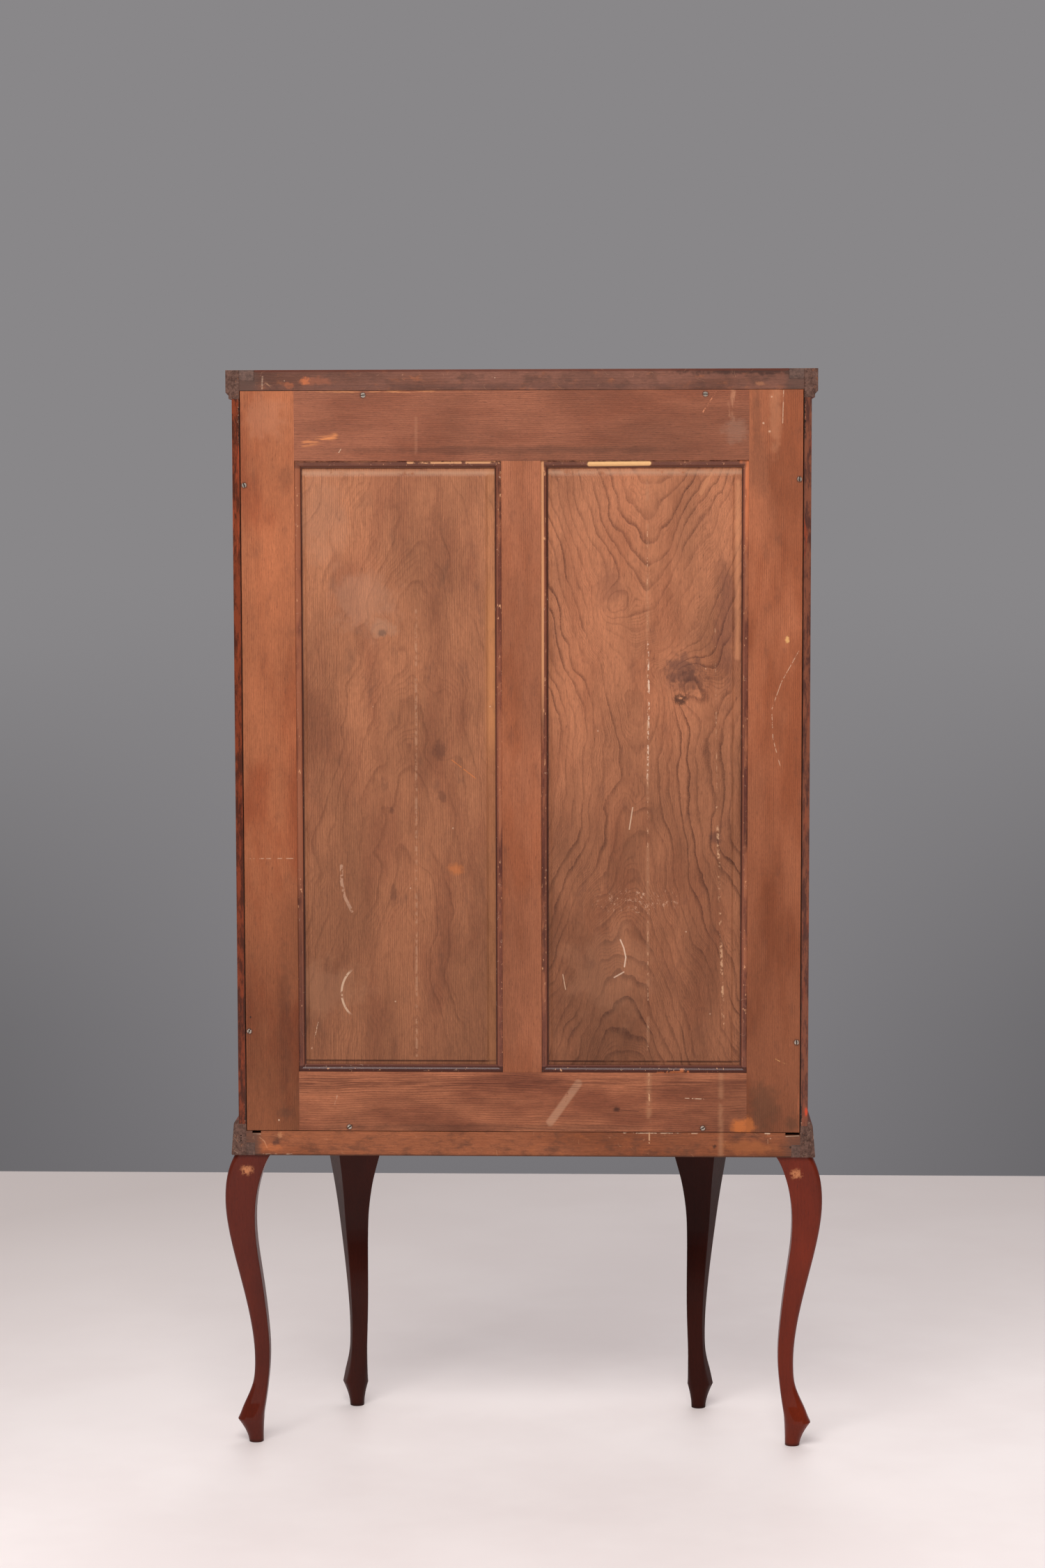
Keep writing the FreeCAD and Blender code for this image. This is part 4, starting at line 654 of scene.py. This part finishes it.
def side_board(name, seed, bare_dark, bare_light):
    """A side of the case: polished outside, with a dark, chipped edge at the back, painted shade in the
    chips at its ends and a painted shadow line along its inner side.
    """
    paint = wood(name, axis="z", seed=seed, ring=3.4, sway=8.0, line=0.45, fibre=0.3, blotch=0.3,
                 rough=0.36, coat=0.25,
                 shine=0.16, **MAHOGANY)
    edge = paint.between(paint.y, 141.0, 141.8)
    patches = paint.between(paint.noise(paint.place, (7.0, 7.0, 34.0), 6.0, 0.75), 0.42, 0.58)
    bare = paint.mix(patches, bare_dark, bare_light)
    red = paint.between(paint.noise(paint.place, (6.0, 6.0, 60.0), 4.0, 0.7), 0.56, 0.66)
    high = paint.both(paint.between(paint.z, 1150.0, 1400.0, 0.25, 0.6),
                      paint.between(paint.z, 1535.0, 1490.0, 0.15, 1.0))
    bare = paint.mix(paint.both(red, high), bare, tone(168, 74, 42))
    paint.stain(edge, bare, 0.95)
    # Painted shade in the chips: at the edge's ends its inner part, up to a ragged line, is painted near
    # black.
    ragged = paint.between(paint.noise(paint.place, (3.0, 3.0, 4.0), 3.0, 0.6), 0.3, 0.7, 411.4, 413.6)
    ends = paint.most(paint.between(paint.z, 530.0, 508.0), paint.between(paint.z, 1486.0, 1512.0))
    inner = paint.math("SUBTRACT", ragged, paint.math("ABSOLUTE", paint.x))
    paint.stain(paint.both(paint.both(edge, ends), paint.between(inner, -0.2, 0.3)), tone(16, 10, 8), 0.95)
    crumbs = paint.between(paint.noise(paint.place, (2.0, 2.0, 3.0), 2.0, 0.6), 0.6, 0.66)
    along = paint.between(paint.math("ABSOLUTE", paint.x), 414.6, 412.6)
    paint.stain(paint.both(paint.both(paint.both(edge, ends), along), crumbs), tone(206, 168, 140), 0.5)
    # Painted shadow line along the inner side of the edge, where it meets the back.
    paint.stain(paint.both(edge, paint.between(paint.math("ABSOLUTE", paint.x), 412.2, 411.4)), DIRT, 0.8)
    paint.stain(paint.both(edge, paint.spot(-419.5, 509.0, 3.0, 9.0, 0.5, 4.0)), tone(214, 74, 40), 0.9)
    return paint.done(0.2)


def leg(name, seed, light, dark, coat, rub=None):
    """A cabriole leg: deep red-brown polish; the back ones are rubbed to the bare wood near the top."""
    paint = wood(name, axis="z", seed=seed, ring=5.0, sway=12.0, line=0.14, fibre=0.14, blotch=0.35,
                 rough=0.5, coat=coat, shine=0.05, gloss=0.05,
                 light=light, dark=dark, warm=light)
    if rub:
        torn = paint.spot(*rub, 12.0, 10.0, 1.0, 5.0)
        flecks = paint.between(paint.noise(paint.place, 5.0, 5.0, 0.7), 0.36, 0.5)
        patch = paint.both(torn, flecks)
        paint.stain(paint.back_only(patch), tone(206, 134, 88), 0.85)
    paint.stain(paint.between(paint.z, 6.0, 1.0), tone(30, 14, 11), 0.6)
    return paint.done(0.15)


def mahogany(name, axis="z", seed=0.0, coat=0.45):
    return wood(name, axis=axis, seed=seed, ring=3.4, sway=9.0, line=0.45, fibre=0.3, blotch=0.3,
                rough=0.32, coat=coat, **MAHOGANY).done(0.18)


def brass(name, rough=0.3):
    """Old brass: yellow metal, browner in patches."""
    paint = Paint(name, Metallic=1.0, Roughness=rough)
    tarnish = paint.between(paint.noise(paint.place, 5.0, 5.0, 0.6), 0.4, 0.7)
    paint.colour = paint.mix(tarnish, tone(214, 170, 96), tone(150, 106, 58))
    paint.rough = paint.between(tarnish, 0.0, 1.0, rough - 0.06, rough + 0.16)
    paint.height = paint.noise(paint.place, (1.2, 1.2, 1.2), 4.0, 0.6)
    return paint.done(0.08, 0.0002)


def steel(name):
    """Dull screw and bolt steel, with painted shade in the screws' slots."""
    paint = Paint(name, Metallic=0.9, Roughness=0.4)
    rust = paint.between(paint.noise(paint.place, 3.0, 5.0, 0.65), 0.45, 0.7)
    paint.colour = paint.mix(rust, tone(206, 194, 180), tone(124, 100, 84))
    # Painted shade: steel more than 0.35 mm below the screw faces is painted near black, which darkens the
    # slots.
    face = paint.between(paint.z, 515.0, 525.0, 140.8, 141.6)
    slot_shade = paint.between(paint.math("SUBTRACT", face, paint.y), 0.35, 0.7)
    paint.stain(slot_shade, tone(24, 17, 13), 0.95)
    paint.rough = paint.between(rust, 0.0, 1.0, 0.32, 0.6)
    paint.height = paint.noise(paint.place, 0.8, 4.0, 0.6)
    return paint.done(0.12, 0.0002)


def glass(name, tint):
    """Clear glass, with the faintest waviness of old panes."""
    paint = Paint(name, Roughness=0.01, IOR=1.5, Transmission_Weight=1.0)
    paint.shader.inputs["Base Color"].default_value = tint
    paint.height = paint.noise(paint.place, (60.0, 60.0, 90.0), 1.0, 0.4)
    return paint.done(0.05, 0.0004)


def paints():
    """Node name to material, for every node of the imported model."""
    made = {
        "back_stile_left": stile("back_stile_left", 1.0, left_stile_marks, 0.6,
                                 light=tone(172, 102, 68), dark=tone(92, 46, 30), warm=tone(150, 82, 50)),
        "back_stile_right": stile("back_stile_right", 2.0, right_stile_marks, 0.52,
                                  light=tone(182, 108, 70), dark=tone(97, 47, 29), warm=tone(164, 87, 52)),
        "back_rail_top": rail("back_rail_top", 3.0, top_rail_marks),
        "back_rail_bottom": rail("back_rail_bottom", 4.0, bottom_rail_marks, ring=3.6, sway=16.0,
                                 line=0.75, light=tone(182, 112, 78)),
        "back_muntin": stile("back_muntin", 6.0),
        "back_panel_left": left_panel(),
        "back_panel_right": right_panel(),
        "back_beads": beads(),
        "top_back_rail": carcass("top_back_rail", "x", 1.0, top_frame_marks,
                                 light=tone(124, 80, 64), dark=tone(70, 40, 32), warm=tone(108, 66, 50)),
        "base_back_rail": carcass("base_back_rail", "x", 2.0, base_frame_marks,
                                  light=tone(150, 88, 57), dark=tone(86, 46, 31), warm=tone(138, 77, 47)),
        "leg_back_left": leg("leg_back_left", 1.0, tone(122, 40, 17), tone(64, 19, 9), 0.35,
                             (-405.8, 414.8)),
        "leg_back_right": leg("leg_back_right", 2.0, tone(90, 30, 16), tone(42, 12, 7), 0.35,
                              (411.1, 417.3)),
        # The front legs take a much darker copy of the leg polish: painted shade, as they stand in the
        # shadow under the case.
        "leg_front_left": leg("leg_front_left", 3.0, tone(50, 15, 7), tone(19, 6, 3), 0.1),
        "leg_front_right": leg("leg_front_right", 4.0, tone(62, 21, 11), tone(22, 7, 4), 0.2),
    }
    plain = mahogany("case_mahogany", "z", 11.0)
    across = mahogany("case_mahogany_across", "x", 12.0)
    inner = carcass("carcass_wood", "x", 5.0, lambda paint: [(end_grain(paint), GREY_END, 0.2)])
    old_brass = brass("old_brass")
    iron = steel("screw_steel")
    pane = glass("window_glass", tone(246, 250, 248))
    slab = glass("shelf_glass", tone(226, 244, 236))
    groups = {
        plain: ("door_stile_hinge", "door_stile_lock", "front_post_left", "front_post_right",
                "cant_stile_left", "cant_stile_right", "cant_beads", "door_beads", "door_stops"),
        across: ("door_rail_top", "door_rail_bottom", "cant_rails"),
        inner: ("base_front_rail", "base_side_left", "base_side_right", "bottom_board", "top_board",
                "top_front_rail", "top_side_left", "top_side_right", "leg_dowels"),
        old_brass: ("hinge_door_leaves", "hinge_frame_leaves", "hinge_pins", "hinge_door_screws",
                    "hinge_frame_screws", "lock_case", "escutcheon", "strike_plate", "key", "shelf_pins"),
        iron: ("back_screws", "lock_bolt"),
        pane: ("door_glass", "cant_glass"),
        slab: ("glass_shelf_bottom", "glass_shelf_middle", "glass_shelf_top"),
    }
    for material, names in groups.items():
        for name in names:
            made[name] = material
    for count, side in enumerate(("left", "right")):
        made[f"side_board_{side}"] = side_board(f"side_board_{side}", 1.0 + count, *EDGES[side])
        made[f"cornice_{side}"] = moulded(f"cornice_{side}", "y", 3.0 + count)
        made[f"base_moulding_{side}"] = moulded(f"base_moulding_{side}", "y", 5.0 + count)
    made["cornice_front"] = moulded("cornice_front", "x", 7.0)
    made["base_moulding_front"] = moulded("base_moulding_front", "x", 8.0)
    return made


# ---------------------------------------------------------------- softened edges

PLAIN_EASE = 0.0006  # how far edges are rubbed round, in metres
EASE = {"glass": 0.0004, "back_screws": 0.0002, "hinge": 0.0002}
FLAT_ANGLE = math.radians(0.4)
EDGE_ANGLE = math.radians(38)


def soften(node):
    """Rounds the sharp edges a little, as use does."""
    width = next((value for key, value in EASE.items() if key in node.name), PLAIN_EASE)
    weld = node.modifiers.new("weld", "WELD")
    weld.merge_threshold = 1e-6
    plane = node.modifiers.new("plane", "DECIMATE")
    plane.decimate_type = "DISSOLVE"
    plane.angle_limit = FLAT_ANGLE
    bevel = node.modifiers.new("ease", "BEVEL")
    bevel.width = width
    bevel.segments = 2
    bevel.limit_method = "ANGLE"
    bevel.angle_limit = EDGE_ANGLE
    bevel.harden_normals = False
    bevel.use_clamp_overlap = True
    normals = node.modifiers.new("normals", "WEIGHTED_NORMAL")
    normals.keep_sharp = True


# ---------------------------------------------------------------- stage


def staged(name, vertices, faces, material):
    mesh = bpy.data.meshes.new(name)
    mesh.from_pydata(vertices, [], faces)
    thing = bpy.data.objects.new(name, mesh)
    thing.data.materials.append(material)
    bpy.context.scene.collection.objects.link(thing)


FLOOR_REACH = 9.0
FLOOR_EDGE = -1.813  # where the floor ends behind the cabinet, in metres


def add_floor():
    """A plain pale floor that ends in a straight line behind the cabinet; painted shade makes it greyer
    there and away from x = -350 mm.
    """
    paint = Paint("floor", Roughness=0.45, Specular_IOR_Level=0.25)
    cloud = paint.noise(paint.place, 420.0, 4.0, 0.6)
    near = paint.mix(paint.between(cloud, 0.35, 0.65), tone(248, 237, 233), tone(253, 243, 239))
    # Painted shade: the floor's colour turns greyer away from the camera and away from x = -350 mm.
    aside = paint.math("ABSOLUTE", paint.math("ADD", paint.x, 350.0))
    reach = paint.between(paint.math("SUBTRACT", paint.y, aside), -2800.0, -500.0, smooth=False)
    paint.colour = paint.mix(reach, tone(208, 197, 192), near)
    front, side, far = FLOOR_REACH, FLOOR_REACH, FLOOR_EDGE
    staged("floor", [(-side, far, 0), (side, far, 0), (side, front, 0), (-side, front, 0)],
           [(0, 1, 2, 3)], paint.done())


def add_light(name, place, target, size, power):
    data = bpy.data.lights.new(name, "AREA")
    data.shape = "RECTANGLE"
    data.size, data.size_y = size
    data.energy = power
    lamp = bpy.data.objects.new(name, data)
    lamp.location = place
    lamp.rotation_mode = "QUATERNION"
    lamp.rotation_quaternion = (Vector(target) - Vector(place)).to_track_quat("-Z", "Y")
    bpy.context.scene.collection.objects.link(lamp)


def add_world():
    """The grey of a studio wall, darker low down, at the edges and towards +Y."""
    world = bpy.data.worlds.new("studio")
    world.use_nodes = True
    tree = world.node_tree
    split = tree.nodes.new("ShaderNodeSeparateXYZ")
    tree.links.new(tree.nodes.new("ShaderNodeTexCoord").outputs["Generated"], split.inputs[0])

    def ramp(value, *numbers):
        node = tree.nodes.new("ShaderNodeMapRange")
        tree.links.new(value, node.inputs[0])
        for socket, number in zip(list(node.inputs)[1:5], numbers):
            socket.default_value = number
        return node.outputs[0]

    def calculate(operation, *values):
        node = tree.nodes.new("ShaderNodeMath")
        node.operation = operation
        for socket, value in zip(node.inputs, values):
            if isinstance(value, bpy.types.NodeSocket):
                tree.links.new(value, socket)
            else:
                socket.default_value = value
        return node.outputs[0]

    grey = tree.nodes.new("ShaderNodeMix")
    grey.data_type = "RGBA"
    tree.links.new(ramp(split.outputs[2], -0.21, -0.02, 0.0, 1.0), grey.inputs[0])
    grey.inputs[6].default_value, grey.inputs[7].default_value = tone(118, 116, 119), tone(137, 135, 137)
    tree.links.new(grey.outputs[2], tree.nodes["Background"].inputs[0])
    aside = calculate("ABSOLUTE", calculate("SUBTRACT", split.outputs[0], 0.03))
    low = ramp(split.outputs[2], -0.16, -0.04, 1.0, 0.0)
    edge = calculate("MULTIPLY", ramp(aside, 0.09, 0.17, 0.0, 0.22), low)
    darker = ramp(split.outputs[1], -0.3, 0.8, 1.0, 0.5)
    overhead = ramp(split.outputs[2], 0.25, 0.7, 1.0, 3.2)
    strength = calculate("MULTIPLY", calculate("MULTIPLY", darker, overhead),
                         calculate("SUBTRACT", 1.0, edge))
    tree.links.new(strength, tree.nodes["Background"].inputs[1])
    bpy.context.scene.world = world


CAMERA_PLACE = (-0.1485, 4.728, 1.3879)
CAMERA_TURNS = (1.84, 4.89, -0.12)  # yaw, pitch and roll in degrees


def add_camera():
    """A long lens behind the cabinet, looking slightly down."""
    yaw, pitch, roll = (math.radians(angle) for angle in CAMERA_TURNS)
    forward = Vector((math.sin(yaw) * math.cos(pitch), -math.cos(yaw) * math.cos(pitch), -math.sin(pitch)))
    right = Vector((-math.cos(yaw), -math.sin(yaw), 0.0))
    up = right.cross(forward)
    level_right, level_up = right, up
    right = level_right * math.cos(roll) + level_up * math.sin(roll)
    up = level_up * math.cos(roll) - level_right * math.sin(roll)
    data = bpy.data.cameras.new("camera")
    data.lens = 72.0
    data.sensor_width = 36.0
    data.clip_end = 60.0
    camera = bpy.data.objects.new("camera", data)
    turn = Matrix((right, up, -forward)).transposed()
    camera.matrix_world = Matrix.Translation(CAMERA_PLACE) @ turn.to_4x4()
    bpy.context.scene.collection.objects.link(camera)
    bpy.context.scene.camera = camera


LIGHTS = (  # name, place, target, size in metres, power in watts
    ("key", (0.6, 2.7, 3.4), (0.05, 0.2, 0.9), (2.6, 1.6), 98.0),
    ("side_right", (3.2, 2.4, 2.6), (0.0, 0.0, 0.9), (1.0, 1.6), 4.0),
    ("side_left", (-3.2, 2.4, 2.6), (0.0, 0.0, 0.9), (1.0, 1.6), 4.0),
    ("front", (-0.5, -3.2, 3.8), (0.0, 0.0, 0.9), (2.4, 1.6), 34.0),
)
add_camera()
add_world()
add_floor()
for light in LIGHTS:
    add_light(*light)
bpy.context.scene.view_settings.view_transform = "Standard"

MATERIALS = paints()
for node_name, node in NODES.items():
    node.data.materials.clear()
    node.data.materials.append(MATERIALS[node_name])
    soften(node)
